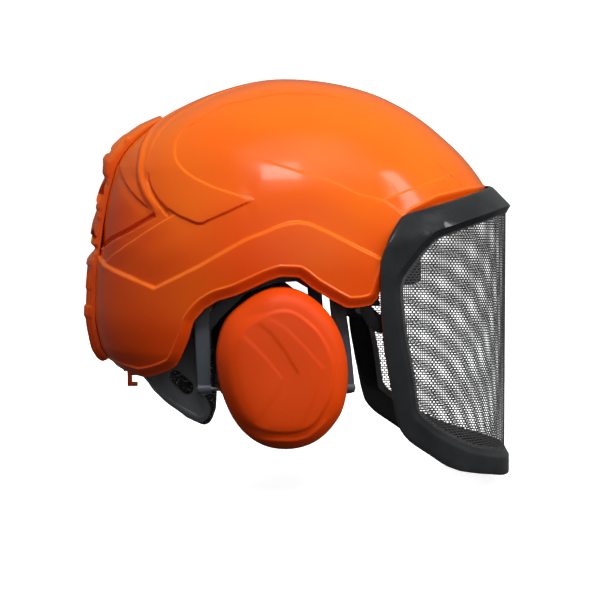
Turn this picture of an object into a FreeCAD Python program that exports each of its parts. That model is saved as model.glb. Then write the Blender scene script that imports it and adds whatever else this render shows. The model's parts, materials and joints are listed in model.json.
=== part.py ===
import FreeCAD, Part
import os, math
from FreeCAD import Vector as V

# Forestry helmet: outer shell, inner shell, headband, mesh visor and two ear muffs.
# Frame: +X forward, +Y to the wearer's left, +Z up, origin in the middle of the
# head opening at brow height.  Millimetres.
os.makedirs("parts", exist_ok=True)
doc = FreeCAD.newDocument("forestry_helmet")

# ---------------------------------------------------------------- dimensions
sheet = doc.addObject("Spreadsheet::Sheet", "Dimensions")
DIM = [
    ("crown_height", 142.2), ("shell_wall", 3.0), ("front_power", 2.05), ("rear_power", 2.3),
    ("spine_proud", 7.0), ("spine_half_width", 21.0),
    ("liner_front", 127.0), ("liner_rear", 124.0), ("liner_half", 89.0), ("liner_height", 126.0),
    ("liner_wall", 3.0), ("band_thick", 2.0), ("band_front", 101.0), ("band_half", 80.5),
    ("brow_pad_thick", 6.0),
    ("visor_centre", 20.0), ("visor_reach", 148.0), ("visor_half", 111.5), ("visor_power", 2.3),
    ("frame_thick", 3.2), ("mesh_thick", 0.7), ("retainer_thick", 1.3),
    ("pivot_along", 15.0), ("pivot_up", 28.5), ("pivot_stud_radius", 5.0), ("pivot_bore_radius", 5.05),
    ("arm_inner", 93.0), ("arm_thick", 3.0), ("arm_bolt_radius", 2.0), ("arm_bolt_bore", 2.05),
    ("slide_travel", 18.0), ("slider_width", 24.0), ("slider_thick", 3.0), ("slider_length", 32.0),
    ("bracket_length", 26.0), ("bracket_screw_radius", 1.5),
    ("hinge_out", 91.0), ("hinge_up", 8.0), ("hinge_pin_radius", 1.5), ("hinge_bore_radius", 1.55),
    ("knuckle_radius", 3.5), ("yoke_thick", 3.5),
    ("cup_pin_out", 91.25), ("cup_pin_up", -80.0), ("cup_pin_radius", 1.5), ("cup_bore_radius", 1.56),
    ("cup_face", 96.0), ("cup_depth", 26.5), ("cup_wall", 2.2), ("base_thick", 8.6),
    ("cushion_thick", 14.1), ("foam_thick", 13.0),
    ("cradle_thick", 4.0), ("nape_pad_thick", 6.0),
    ("knob_radius", 15.0), ("knob_thick", 8.0), ("knob_shaft_radius", 3.0), ("knob_bore_radius", 3.05),
    ("housing_radius", 16.5), ("housing_thick", 4.2),
    ("anchor_bore_radius", 2.6), ("anchor_thick", 2.8), ("stud_radius", 2.0),
]
for i, (name, value) in enumerate(DIM):
    sheet.set("A%d" % (i + 1), name)
    sheet.set("B%d" % (i + 1), str(value))
    sheet.setAlias("B%d" % (i + 1), name)
doc.recompute()
D = {name: float(sheet.get(name)) for name, _ in DIM}

OUT = []          # the sub-parts, in the order they are written


def keep(obj, label):
    obj.Label = label
    OUT.append(obj)
    return obj


def feature(label, shape):
    o = doc.addObject("Part::Feature", label)
    o.Shape = shape
    o.Placement = FreeCAD.Placement()
    return keep(o, label)


def mirror(src, label):
    o = doc.addObject("Part::Mirroring", label)
    o.Source = src
    o.Normal = V(0, 1, 0)
    o.Base = V(0, 0, 0)
    return keep(o, label)


def plane_of(body, role):
    for f in body.Origin.OriginFeatures:
        if f.Role == role:
            return f
    raise RuntimeError(role)


def body_pad(name, role, pts, length, holes=(), bound=None):
    """A body with one padded sketch: pts is a closed polygon, holes are (x, y, alias)."""
    b = doc.addObject("PartDesign::Body", name)
    s = b.newObject("Sketcher::SketchObject", name + "_sketch")
    s.AttachmentSupport = (plane_of(b, role), "")
    s.MapMode = "FlatFace"
    n = len(pts)
    for k in range(n):
        a, c = pts[k], pts[(k + 1) % n]
        s.addGeometry(Part.LineSegment(V(a[0], a[1], 0), V(c[0], c[1], 0)), False)
    for (hx, hy, alias) in holes:
        g = s.addGeometry(Part.Circle(V(hx, hy, 0), V(0, 0, 1), D[alias]), False)
        import Sketcher
        c = s.addConstraint(Sketcher.Constraint("Radius", g, D[alias]))
        s.setExpression("Constraints[%d]" % c, "Dimensions." + alias)
    p = b.newObject("PartDesign::Pad", name + "_pad")
    p.Profile = s
    p.Length = length
    if bound:
        p.setExpression("Length", bound)
    s.Visibility = False
    return b, p


def cylinder(name, radius, height, base, axis, rb=None, hb=None):
    c = doc.addObject("Part::Cylinder", name)
    c.Radius = radius
    c.Height = height
    if rb:
        c.setExpression("Radius", "Dimensions." + rb)
    if hb:
        c.setExpression("Height", "Dimensions." + hb)
    c.Placement = FreeCAD.Placement(V(*base), FreeCAD.Rotation(V(0, 0, 1), V(*axis)))
    return c


def box(name, lo, hi):
    b = doc.addObject("Part::Box", name)
    b.Length, b.Width, b.Height = hi[0] - lo[0], hi[1] - lo[1], hi[2] - lo[2]
    b.Placement = FreeCAD.Placement(V(*lo), FreeCAD.Rotation())
    return b


def fuse(name, *objs):
    f = doc.addObject("Part::MultiFuse", name)
    f.Shapes = list(objs)
    return f


def cut(name, base, *tools):
    tool = tools[0] if len(tools) == 1 else fuse(name + "_tools", *tools)
    c = doc.addObject("Part::Cut", name)
    c.Base = base
    c.Tool = tool
    return c


def sbox(lo, hi):
    return Part.makeBox(hi[0] - lo[0], hi[1] - lo[1], hi[2] - lo[2], V(*lo))


def scyl(r, p, q):
    p, q = V(*p), V(*q)
    return Part.makeCylinder(r, (q - p).Length, p, q - p)


# ---------------------------------------------------------------- curves
def pchip(tab, x):
    """Shape-preserving interpolation of a table of pairs."""
    xs = [p[0] for p in tab]
    ys = [p[1] for p in tab]
    n = len(xs)
    if x <= xs[0]:
        return ys[0]
    if x >= xs[-1]:
        return ys[-1]
    h = [xs[i + 1] - xs[i] for i in range(n - 1)]
    d = [(ys[i + 1] - ys[i]) / h[i] for i in range(n - 1)]
    m = [0.0] * n
    m[0], m[-1] = d[0], d[-1]
    for i in range(1, n - 1):
        if d[i - 1] * d[i] > 0:
            w1, w2 = 2 * h[i] + h[i - 1], h[i] + 2 * h[i - 1]
            m[i] = (w1 + w2) / (w1 / d[i - 1] + w2 / d[i])
    for i in range(n - 1):
        if xs[i] <= x <= xs[i + 1]:
            q = (x - xs[i]) / h[i]
            return ((2 * q ** 3 - 3 * q * q + 1) * ys[i] + (q ** 3 - 2 * q * q + q) * h[i] * m[i]
                    + (-2 * q ** 3 + 3 * q * q) * ys[i + 1] + (q ** 3 - q * q) * h[i] * m[i + 1])


# half-lengths and half-width of the outer shell against height, as multiples of
# the elliptical fall-off towards the crown
FRONT = [(-90, 150), (-40, 158), (0, 163), (30, 165), (56, 166.5), (84, 165.5), (100, 164), (122, 167), (137, 172), (142.2, 172)]
REAR = [(-90, 124), (-67, 131), (-54, 138.5), (-30, 142.5), (-12, 141.5), (8, 140), (22, 139.5), (36, 140.5), (52, 143),
        (67, 147), (78, 151), (91.7, 153.5), (108, 152.5), (119, 149), (128.8, 143), (136.8, 133), (142.2, 128)]
SIDE = [(-90, 108), (-70, 110), (-30, 112), (0, 112), (142.2, 112)]


def shell_dims(z, off):
    """Front, rear and side reach of the shell at height z, moved out by off."""
    H = D["crown_height"] + off
    zz = z * D["crown_height"] / H if z > 0 else z
    c = math.sqrt(max(0.0, 1 - (max(z, 0.0) / H) ** 2))
    k = D["crown_height"]
    return ((pchip(FRONT, zz) + off) * c, (pchip(REAR, zz) + off) * c, (pchip(SIDE, zz) + off) * c)


def oval(a, b, w, z, nf, nr, n=32):
    """Closed curve in a level plane: front reach a, rear reach b, half-width w."""
    pts = []
    for k in range(n):
        t = 2 * math.pi * (k + 0.5) / n
        c, s = math.cos(t), math.sin(t)
        e = 2.0 / (nf if c > 0 else nr)
        r = a if c > 0 else b
        pts.append(V(r * math.copysign(abs(c) ** e, c), w * math.copysign(abs(s) ** e, s), z))
    cv = Part.BSplineCurve()
    cv.interpolate(pts, PeriodicFlag=True)
    return Part.Wire([cv.toShape()])


def shell_solid(off, low):
    H = D["crown_height"] + off
    zs = [low, -75, -60, -40, -20, 0, 20, 40, 60, 75, 90, 104, 116, 126, 133, 138.0, 140.6]
    ws = [oval(*shell_dims(z * H / D["crown_height"] if z > 0 else z, off), z * H / D["crown_height"] if z > 0 else z,
               D["front_power"], D["rear_power"]) for z in zs]
    return Part.makeLoft(ws, True, False)


def liner_solid(off, low):
    a, b, w, H = (D["liner_front"] + off, D["liner_rear"] + off, D["liner_half"] + off, D["liner_height"] + off)
    zs = [low, -30, 0, 25, 50, 70, 88, 102, 112, 119, 123.5]
    ws = []
    for z in zs:
        zz = z * H / D["liner_height"] if z > 0 else z
        c = math.sqrt(max(0.0, 1 - (max(zz, 0.0) / H) ** 2))
        ws.append(oval(a * c, b * c, w * c, zz, 2.1, 2.3, 28))
    return Part.makeLoft(ws, True, False)


def prism(pts, y0=-160.0, y1=160.0):
    """Side outline (x, z) swept across the helmet."""
    w = Part.makePolygon([V(x, y0, z) for x, z in pts] + [V(pts[0][0], y0, pts[0][1])])
    return Part.Face(w).extrude(V(0, y1 - y0, 0))


# ---------------------------------------------------------------- outer shell
RIM = [(153, 57), (130, 54.5), (104.5, 49), (83.9, 39.9), (73, 24.6), (64, 3.7), (60, -8), (57.5, -15.8), (53, -20.5),
       (45.3, -21.9), (35.2, -22.4), (25.3, -17.1), (10.6, -8.3), (0.8, -0.4), (-11.7, 0.1), (-19.4, -2.3),
       (-42.8, -13.1), (-56.6, -17.3), (-65.2, -23), (-72.8, -32), (-76.1, -44.4), (-82.7, -60.2), (-85.5, -64.9),
       (-92.4, -68.8), (-100.1, -72), (-108.5, -74.2), (-119, -72.2), (-128.3, -69.1), (-136.4, -64.7), (-142, -58)]
over_rim = prism([(-180, 160), (180, 160), (180, 58)] + RIM + [(-180, -52)])
outer = shell_solid(0.0, -84.0)
hollow = shell_solid(-D["shell_wall"], -88.0)
shell = outer.cut(hollow).common(over_rim)
# four screw bosses a side behind the muff brackets
BR_X = (-36.6, -3.4)
BR_Z = (26.0, 41.0)
bosses, bores = [], []
for sy in (-1, 1):
    for bx in BR_X:
        for bz in BR_Z:
            bosses.append(scyl(4.0, (bx, sy * 98.1, bz), (bx, sy * 112, bz)).common(hollow))
            bores.append(scyl(1.5, (bx, sy * 97.0, bz), (bx, sy * 103.5, bz)))
for s in bosses:
    shell = shell.fuse(s)
shell = shell.removeSplitter()
for s in bores:
    shell = shell.cut(s)
feature("outer_shell", shell)

# raised spine down the back of the shell, a snap-on vent cover
sp = shell_solid(D["spine_proud"], -78.0).cut(shell_solid(0.25, -84.0))
hw = D["spine_half_width"]
sp = sp.common(sbox((-170, -hw, -64), (-72, hw, 112)))
feature("rear_vent_cover", sp)

# ---------------------------------------------------------------- inner shell
LRIM = [(160, 26), (60, 26), (44, 22), (-52, 22), (-66, 12), (-84, -12), (-96, -25), (-160, -25)]
inner = liner_solid(0.0, -60.0).cut(liner_solid(-D["liner_wall"], -64.0)).common(
    prism([(-160, 150), (160, 150)] + LRIM))
feature("inner_shell", inner)
pad = liner_solid(-3.3, -60.0).cut(liner_solid(-11.0, -64.0))
feature("crown_pad", pad.common(sbox((-58, -38, 60), (62, 38, 140))))
feature("rear_pad", pad.common(sbox((-150, -40, -18), (-70, 40, 52))))


# ---------------------------------------------------------------- headband
def half_loop(a, w, n, x0, sign=1, k=26):
    """Points of an open loop that is symmetric about y = 0, from +y round to -y."""
    pts = []
    for i in range(k + 1):
        t = -math.pi / 2 + math.pi * i / k
        c, s = math.cos(t), math.sin(t)
        pts.append((x0 + sign * a * abs(c) ** (2.0 / n), -w * math.copysign(abs(s) ** (2.0 / n), s)))
    return pts


def loop_band(a, w, n, x0, thick, z0, z1, sign=1):
    """A level band of constant thickness that follows half_loop, outside face a, w."""
    o = half_loop(a, w, n, x0, sign)
    i = half_loop(a - thick, w - thick, n, x0, sign)
    co, ci = Part.BSplineCurve(), Part.BSplineCurve()
    co.interpolate([V(x, y, z0) for x, y in o])
    ci.interpolate([V(x, y, z0) for x, y in reversed(i)])
    e1 = Part.makeLine(V(o[-1][0], o[-1][1], z0), V(i[-1][0], i[-1][1], z0))
    e2 = Part.makeLine(V(i[0][0], i[0][1], z0), V(o[0][0], o[0][1], z0))
    f = Part.Face(Part.Wire([co.toShape(), e1, ci.toShape(), e2]))
    return f.extrude(V(0, 0, z1 - z0))


band = loop_band(D["band_front"], D["band_half"], 2.4, 0, D["band_thick"], -8, 20).common(sbox((40, -90, -9), (110, 90, 21)))
feature("headband_front", band)
bp = D["band_thick"] + 0.3
brow = loop_band(D["band_front"] - bp, D["band_half"] - bp, 2.4, 0, D["brow_pad_thick"], -10, 17).common(
    sbox((48, -90, -12), (110, 90, 21)))
feature("brow_pad", brow)


def strip(secs):
    """A flat strap lofted through sections (x, y, z, half-height, half-thickness, heading in degrees)."""
    ws = []
    for (x, y, z, hh, ht, ang) in secs:
        a = math.radians(ang)
        nx, ny = math.cos(a), math.sin(a)
        p = [V(x + nx * ht * q, y + ny * ht * q, z + hh * r) for q, r in ((1, 1), (-1, 1), (-1, -1), (1, -1))]
        ws.append(Part.makePolygon(p + [p[0]]))
    return Part.makeLoft(ws, True, True)


strap = strip([(39.8, -78.0, 5, 9, 1.0, 77), (20, -79.3, 5, 9, 1.0, 88), (-12, -79.3, 3, 9, 1.0, 90), (-34, -77.6, -5, 8.5, 1.0, 98),
               (-52, -71.5, -24, 7.5, 1.0, 112), (-64, -66.0, -41.5, 6.5, 0.9, 100), (-68, -65.8, -42, 6.5, 0.9, 90),
               (-100, -65.8, -42, 6.5, 0.9, 90)])
slot = sbox((-92.4, -70, -44.2), (-70, -60, -39.8))
slot = slot.fuse(scyl(2.2, (-92.4, -70, -42), (-92.4, -60, -42))).fuse(scyl(2.2, (-70, -70, -42), (-70, -60, -42)))
o = feature("side_strap_right", strap.cut(slot))
mirror(o, "side_strap_left")
cl = []
for cx in (-24.0, 14.0):
    for sy in (-1, 1):
        lo, hi = sorted((sy * 80.45, sy * 81.5))
        cl.append(sbox((cx - 6, lo, -2), (cx + 6, hi, 28)))
feature("band_clips", Part.makeCompound(cl))

# chin-strap anchors on the inner shell: a plate down to a level lug with an upright hole
b, p = body_pad("chin_lug", "XY_Plane", [(48, -92.2), (60, -92.2), (60, -82.2), (48, -82.2)], D["anchor_thick"],
                [(54, -88.4, "anchor_bore_radius")], "Dimensions.anchor_thick")
b.Placement = FreeCAD.Placement(V(0, 0, -22), FreeCAD.Rotation())
c = fuse("chin_anchor_r", b, box("chin_plate", (48, -85, -20), (60, -82.2, 26)))
cc = cut("chin_anchor_rc", c, cylinder("chin_bore", D["anchor_bore_radius"], 10, (54, -88.4, -24), (0, 0, 1), "anchor_bore_radius"))
keep(cc, "chin_anchor_right")
mirror(cc, "chin_anchor_left")

# ---------------------------------------------------------------- muff brackets and sliders (right side, then mirrored)
HY, HZ = -D["hinge_out"], D["hinge_up"]
prof = [(-40, -90.5), (-26, -90.5), (-26, -91.8), (-32.3, -91.8), (-32.3, -95.2), (-7.7, -95.2), (-7.7, -91.8), (-14, -91.8),
        (-14, -90.5), (0, -90.5), (0, -98), (-40, -98)]
b, p = body_pad("muff_bracket_r", "XY_Plane", prof, D["bracket_length"], (), "Dimensions.bracket_length")
b.Placement = FreeCAD.Placement(V(0, 0, 20), FreeCAD.Rotation())
tools = [cylinder("br_bore_%d%d" % (i, j), 1.55, 12, (bx, -89, bz), (0, -1, 0)) for i, bx in enumerate(BR_X) for j, bz in enumerate(BR_Z)]
c = cut("muff_bracket_rc", b, *tools)
keep(c, "muff_bracket_right")
mirror(c, "muff_bracket_left")
scr = []
for sy in (-1, 1):
    for bx in BR_X:
        for bz in BR_Z:
            s = scyl(1.5, (bx, sy * 90.45, bz), (bx, sy * 103.4, bz)).fuse(scyl(2.7, (bx, sy * 88.6, bz), (bx, sy * 90.45, bz)))
            drv = scyl(1.1, (bx, sy * 88.5, bz), (bx, sy * 89.6, bz))
            scr.append(s.cut(drv))
feature("bracket_screws", Part.makeCompound(scr))

plate = box("slider_plate", (-32, -95, 14), (-8, -92, 46))
k1 = cylinder("slider_k1", D["knuckle_radius"], 7, (-31, HY, HZ), (1, 0, 0), "knuckle_radius")
k2 = cylinder("slider_k2", D["knuckle_radius"], 7, (-16, HY, HZ), (1, 0, 0), "knuckle_radius")
w1 = box("slider_w1", (-31, -94.4, 8), (-24, -92, 14.5))
w2 = box("slider_w2", (-16, -94.4, 8), (-9, -92, 14.5))
grip = box("slider_grip", (-24, -92.2, 36), (-16, -90.6, 44))
bore = cylinder("slider_bore", D["hinge_pin_radius"], 40, (-40, HY, HZ), (1, 0, 0), "hinge_pin_radius")
c = cut("height_slider_r", fuse("slider_all", plate, k1, k2, w1, w2, grip), bore)
keep(c, "height_slider_right")
mirror(c, "height_slider_left")
c = fuse("hinge_pin_r", cylinder("pin_shank", D["hinge_pin_radius"], 23, (-31.6, HY, HZ), (1, 0, 0), "hinge_pin_radius"),
         cylinder("pin_head", 2.4, 1.2, (-9, HY, HZ), (1, 0, 0)))
keep(c, "hinge_pin_right")
mirror(c, "hinge_pin_left")


def rect_wire(x0, x1, y0, y1, z):
    p = [V(x0, y0, z), V(x1, y0, z), V(x1, y1, z), V(x0, y1, z)]
    return Part.makePolygon(p + [p[0]])


PY, PZ = -D["cup_pin_out"], D["cup_pin_up"]
th = D["yoke_thick"]
rear = Part.makeLoft([rect_wire(-72, -60, -83.5 - th, -83.5, 14), rect_wire(-72, -60, -83.5 - th, -83.5, -24),
                      rect_wire(-71.2, -59.6, -89.5 - th, -89.5, -48), rect_wire(-69, -59.2, -89.5 - th, -89.5, PZ)], True, True)
front = Part.makeLoft([rect_wire(24, 35, -83.5 - th, -83.5, 14), rect_wire(25.5, 35.5, -83.5 - th, -83.5, -24),
                       rect_wire(28.5, 39, -89.5 - th, -89.5, -48), rect_wire(32.6, 42, -89.5 - th, -89.5, PZ)], True, True)
yoke = rear.fuse(front).fuse(sbox((-72, -83.5 - th, 2), (35, -83.5, 14)))
yoke = yoke.fuse(scyl(D["knuckle_radius"], (-23.7, HY, HZ), (-16.3, HY, HZ))).fuse(sbox((-23.7, -91, 5.2), (-16.3, -86.5, 10.8)))
yoke = yoke.fuse(scyl(3.5, (-69, PY, PZ), (-59.2, PY, PZ))).fuse(scyl(3.5, (32.6, PY, PZ), (42, PY, PZ)))
yoke = yoke.cut(scyl(D["hinge_bore_radius"], (-40, HY, HZ), (0, HY, HZ))).cut(scyl(D["cup_bore_radius"], (-80, PY, PZ), (60, PY, PZ)))
o = feature("yoke_right", yoke.removeSplitter())
mirror(o, "yoke_left")

# ---------------------------------------------------------------- ear cups
EGG = [(-11.5, -7.6), (-26.4, -11.3), (-43.2, -23.5), (-51.6, -33.8), (-55.8, -48.8), (-56.3, -60.1), (-53.9, -76.0),
       (-49.7, -89.2), (-43.1, -102.3), (-33.7, -112.6), (-22.5, -119.2), (-9.3, -121.5), (3.8, -120.1), (16.1, -114.4),
       (25.4, -105.0), (31.9, -94.7), (35.2, -78.8), (35.6, -63.8), (33.7, -51.7), (29.9, -39.5), (22.4, -26.5),
       (13.0, -17.1), (2.8, -10.5)]
EC = (-10.4, -64.5)


def egg(inset, y):
    """Cup outline, drawn in by inset, in the plane y."""
    pts = []
    for x, z in EGG:
        dx, dz = x - EC[0] - 1.2, z - EC[1]
        r = math.hypot(dx, dz)
        f = (r - inset) / r
        pts.append(V(EC[0] + dx * f, y, EC[1] + dz * f))
    cv = Part.BSplineCurve()
    cv.interpolate(pts, PeriodicFlag=True)
    return Part.Wire([cv.toShape()])


def egg_loft(secs):
    return Part.makeLoft([egg(i, y) for i, y in secs], True, False)


def egg_slab(inset, y0, y1):
    return Part.Face(egg(inset, y0)).extrude(V(0, y1 - y0, 0))


yf = -D["cup_face"]
yo = yf - D["cup_depth"]
cap = egg_loft([(0.3, yf), (0.0, yf - 6), (0.8, yf - 14), (4.0, yf - 20.5), (11.0, yf - 25), (20, yo)])
wl = D["cup_wall"]
cap_in = egg_loft([(wl + .3, yf + 1), (wl, yf - 6), (wl + 0.8, yf - 13), (wl + 4.0, yf - 18.8), (wl + 11.0, yf - 22.8), (wl + 20, yo + wl)])
o = feature("cup_cap_right", cap.cut(cap_in))
mirror(o, "cup_cap_left")
base = egg_slab(6.0, -95.8, -95.8 + D["base_thick"]).cut(egg_slab(20.0, -97, -85))
base = base.cut(scyl(D["cup_pin_radius"], (-48.5, PY, PZ), (-70, PY, PZ))).cut(scyl(D["cup_pin_radius"], (24.5, PY, PZ), (60, PY, PZ)))
o = feature("cup_base_right", base)
mirror(o, "cup_base_left")
cush = egg_slab(4.0, -87.1, -87.1 + D["cushion_thick"]).cut(egg_slab(22.0, -88, -70))
o = feature("cup_cushion_right", cush)
mirror(o, "cup_cushion_left")
o = feature("cup_foam_right", egg_slab(16.0, -112.5, -112.5 + D["foam_thick"]))
mirror(o, "cup_foam_left")
pins = [scyl(D["cup_pin_radius"], (-69.6, PY, PZ), (-48.5, PY, PZ)), scyl(D["cup_pin_radius"], (24.5, PY, PZ), (42.6, PY, PZ))]
o = feature("cup_pins_right", Part.makeCompound(pins))
mirror(o, "cup_pins_left")

# ---------------------------------------------------------------- visor
VC, VR, VH, VN = D["visor_centre"], D["visor_reach"], D["visor_half"], D["visor_power"]


def visor_sheet(off, thick, z0, z1):
    """Upright U-shaped sheet whose outside face lies off inside the visor's outline."""
    return loop_band(VR - off, VH - off, VN, VC, thick, z0, z1)


SIDE_OUT = [(58.2, -15.8), (58.2, 9.4), (61, 17), (71.7, 32), (76, 40.5), (81, 44.0)]
LOW_OUT = [(57.5, -31.2), (59, -52.3), (62.3, -73.4), (67.7, -97.5), (70.6, -110.3), (75.7, -116.1), (94.1, -125.8), (107.5, -136.4),
           (119.8, -141.0), (146.1, -146.5), (158, -149.6), (172, -151.5)]
HOLE = [(172, 43.0), (155.6, 42.6), (101.7, 26.6), (90.6, 17.5), (76.1, -1.3), (74, -10.4), (78.4, -38.5), (85.1, -70.4), (88.1, -97.4),
        (101.5, -109.3), (120, -119.8), (132.2, -125.0), (153.8, -130.5), (172, -132)]


def bar_low(x):
    """Height of the lower edge of the sloping top bar at x."""
    return 49.5 - (169.7 - x) * 0.262


ring = prism([(20, -31)] + [(57.5, -31.2)] + LOW_OUT[1:] + [(172, bar_low(172))] + [(81, bar_low(81))] + SIDE_OUT[::-1][2:] + [(20, -15)])
ring = prism([(58.2, -15.8), (58.2, 9.4), (61, 17), (66, 22.6), (172, bar_low(172))] + LOW_OUT[::-1])
frame_low = visor_sheet(0, D["frame_thick"], -160, 70).common(ring).cut(prism(HOLE))


def tilt_loop(off, off_side, x_cut, rise):
    """Closed loop in a plane that climbs towards the front; the plane passes bar_low(x) + rise."""
    pts = half_loop(VR - off, VH - off_side, VN, VC, 1, 26)
    pts = [(x, y) for x, y in pts if x > x_cut]
    cv = Part.BSplineCurve()
    q = [V(x, y, bar_low(x) + rise) for x, y in pts]
    cv.interpolate(q)
    return Part.Wire([cv.toShape(), Part.makeLine(q[-1], q[0])])


top_out = Part.makeLoft([tilt_loop(-0.35, -0.35, 52, -7.5), tilt_loop(-0.35, -0.35, 52, 0), tilt_loop(13.2, 6.4, 52, 16.6)], True, True)
top_in = Part.makeLoft([tilt_loop(2.75, 2.75, 40, -9), tilt_loop(2.75, 2.75, 40, -0.8), tilt_loop(16.8, 9.4, 40, 17.0)], True, True)
top_bar = top_out.cut(top_in).common(prism([(66, 22.6), (76, 41), (172, 69), (172, 42), (155.6, 42.6), (101.7, 26.6), (90.6, 17.5), (80, 12)]))
vframe = frame_low.fuse(top_bar)
if vframe.Volume < top_bar.Volume + 0.8 * frame_low.Volume or len(vframe.Solids) != 1:
    raise SystemExit("visor frame: the top bar did not join")
PX, PZv = D["pivot_along"], D["pivot_up"]
EX, EZ = 67.0, -35.0
for sy in (-1, 1):
    vframe = vframe.cut(scyl(D["arm_bolt_bore"], (EX, sy * 90, EZ), (EX, sy * 120, EZ)))
feature("visor_frame", vframe)

# mesh and the strip that holds it, both inside the frame
MESH = [(172, 46.0), (160, 45.4), (101, 29.6), (88, 19.5), (73.4, -1), (71.2, -11), (75.4, -27.5), (76.6, -42), (82.4, -71.5), (85.3, -99), (100, -112),
        (119, -122.6), (131.5, -128), (153.4, -133.4), (172, -135)]
# the mesh has its sides kept clear of the arm's bolts
mt = D["frame_thick"] + 0.25
mesh = visor_sheet(mt, D["mesh_thick"], -150, 60).common(prism(MESH))
feature("visor_mesh", mesh)
rt = mt + D["mesh_thick"] + 0.2
RIN = [(172, 39.8), (155.6, 39.4), (104, 24), (94, 15.4), (80, -2.5), (78.2, -10), (82.0, -38), (88.6, -70), (91.4, -95.4), (104, -106.4), (121.4, -116.6),
       (133, -121.6), (154, -127), (172, -128.4)]
feature("mesh_retainer", visor_sheet(rt, D["retainer_thick"], -150, 60).common(prism(MESH)).cut(prism(RIN)))

# arms: flat plates between the two shells, with a pad at the end that meets the frame
ARM = [(6.4, 25.6), (8.6, 21.2), (14, 16.5), (22, 13), (30, 8), (37, 0), (42, -10), (44.5, -20), (47, -29), (51, -36), (58, -41.2), (72, -41.2),
       (73.2, -38), (73.2, -29), (69, -28.2), (59.5, -28), (53.2, -22), (50.2, -12), (47.8, 2), (43.8, 12), (37.2, 20.2), (29, 26), (24.2, 31), (20.6, 36.2),
       (15, 38), (9.4, 36.2), (6.2, 31)]

b, p = body_pad("visor_arm_r", "XZ_Plane", ARM, D["arm_thick"],
                [(PX, PZv, "pivot_bore_radius"), (EX, EZ, "arm_bolt_bore")], "Dimensions.arm_thick")
b.Placement = FreeCAD.Placement(V(0, -D["arm_inner"], 0), FreeCAD.Rotation())
pad_ = feature("arm_pad_tmp", scyl(6.0, (EX, -95.9, EZ), (EX, -103.2, EZ)).cut(scyl(D["arm_bolt_bore"], (EX, -90, EZ), (EX, -110, EZ))))
OUT.remove(pad_)
c = fuse("visor_arm_rf", b, pad_)
keep(c, "visor_arm_right")
mirror(c, "visor_arm_left")
bolts = []
for sy in (-1, 1):
    s = scyl(D["arm_bolt_radius"], (EX, sy * 92.95, EZ), (EX, sy * 107.2, EZ)).fuse(scyl(3.8, (EX, sy * 91.0, EZ), (EX, sy * 92.95, EZ)))
    bolts.append(s.cut(scyl(1.5, (EX, sy * 90.9, EZ), (EX, sy * 92.2, EZ))))
feature("visor_bolts", Part.makeCompound(bolts))

# pivot studs fixed to the outer shell, with their retaining washers
stud = scyl(12.0, (PX, -96.4, PZv), (PX, -120, PZv)).common(shell_solid(-D["shell_wall"] - 0.15, -88.0))
stud = stud.fuse(scyl(D["pivot_stud_radius"], (PX, -91.0, PZv), (PX, -97, PZv)))
stud = stud.cut(scyl(1.6, (PX, -90, PZv), (PX, -98, PZv)))
o = feature("visor_pivot_right", stud.removeSplitter())
mirror(o, "visor_pivot_left")
ws = []
for sy in (-1, 1):
    w = scyl(8.0, (PX, sy * 89.6, PZv), (PX, sy * 90.95, PZv)).fuse(scyl(1.5, (PX, sy * 90.9, PZv), (PX, sy * 97.9, PZv)))
    ws.append(w.cut(sbox((PX - 4, min(sy * 89.5, sy * 90.1), PZv - 0.5), (PX + 4, max(sy * 89.5, sy * 90.1), PZv + 0.5))))
feature("pivot_screws", Part.makeCompound(ws))

# ---------------------------------------------------------------- nape cradle and adjuster
NX, NA, NW, NN = -50.0, 58.0, 64.0, 2.4
CR = [(-114, -34), (-58, -34), (-58, -60), (-64, -86), (-58.5, -95), (-59, -103), (-66, -108), (-78, -102), (-90.3, -94.2), (-99.7, -86.2), (-104, -80.5),
      (-114, -76)]
cr = loop_band(NA, NW, NN, NX, D["cradle_thick"], -112, -30, -1).common(prism(CR))
# grip windows in both wings and a narrow slot under each
for sy in (-1, 1):
    w = scyl(5.5, (-84, sy * 40, -75), (-84, sy * 70, -75)).fuse(scyl(5.5, (-76, sy * 40, -82), (-76, sy * 70, -82)))
    cr = cr.cut(w)
    cr = cr.cut(scyl(2.0, (-84, sy * 50, -42), (-84, sy * 70, -42)))
cr = cr.cut(scyl(D["knob_bore_radius"], (-120, 0, -60), (-90, 0, -60)))
feature("nape_cradle", cr)
NP = [(-114, -38), (-60, -48), (-52, -60), (-54, -98), (-58, -108), (-64, -110.5), (-78, -105), (-90, -97), (-99, -89), (-104, -83), (-114, -78)]
np_ = loop_band(NA - 4.4, NW - 4.4, NN, NX, D["nape_pad_thick"], -112, -30, -1).common(prism(NP))
feature("nape_pad", np_)
studs = []
for sy in (-1, 1):
    s = scyl(D["stud_radius"], (-84, sy * 58.6, -42), (-84, sy * 67.2, -42)).fuse(scyl(4.0, (-84, sy * 67.1, -42), (-84, sy * 68.6, -42)))
    studs.append(s)
feature("cradle_studs", Part.makeCompound(studs))
c = cut("adjuster_housing_c", cylinder("housing_disc", D["housing_radius"], D["housing_thick"], (-108.4, 0, -60), (-1, 0, 0), "housing_radius", "housing_thick"),
        cylinder("housing_bore", D["knob_bore_radius"], 20, (-100, 0, -60), (-1, 0, 0), "knob_bore_radius"))
keep(c, "adjuster_housing")
kn = scyl(D["knob_radius"], (-112.9, 0, -60), (-112.9 - D["knob_thick"], 0, -60))
for i in range(20):
    a = 2 * math.pi * i / 20
    kn = kn.cut(scyl(1.3, (-112, (D["knob_radius"] + .5) * math.cos(a), -60 + (D["knob_radius"] + .5) * math.sin(a)),
                     (-125, (D["knob_radius"] + .5) * math.cos(a), -60 + (D["knob_radius"] + .5) * math.sin(a))))
kn = kn.cut(scyl(D["knob_shaft_radius"], (-112, 0, -60), (-119, 0, -60)))
feature("adjuster_knob", kn)
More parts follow.
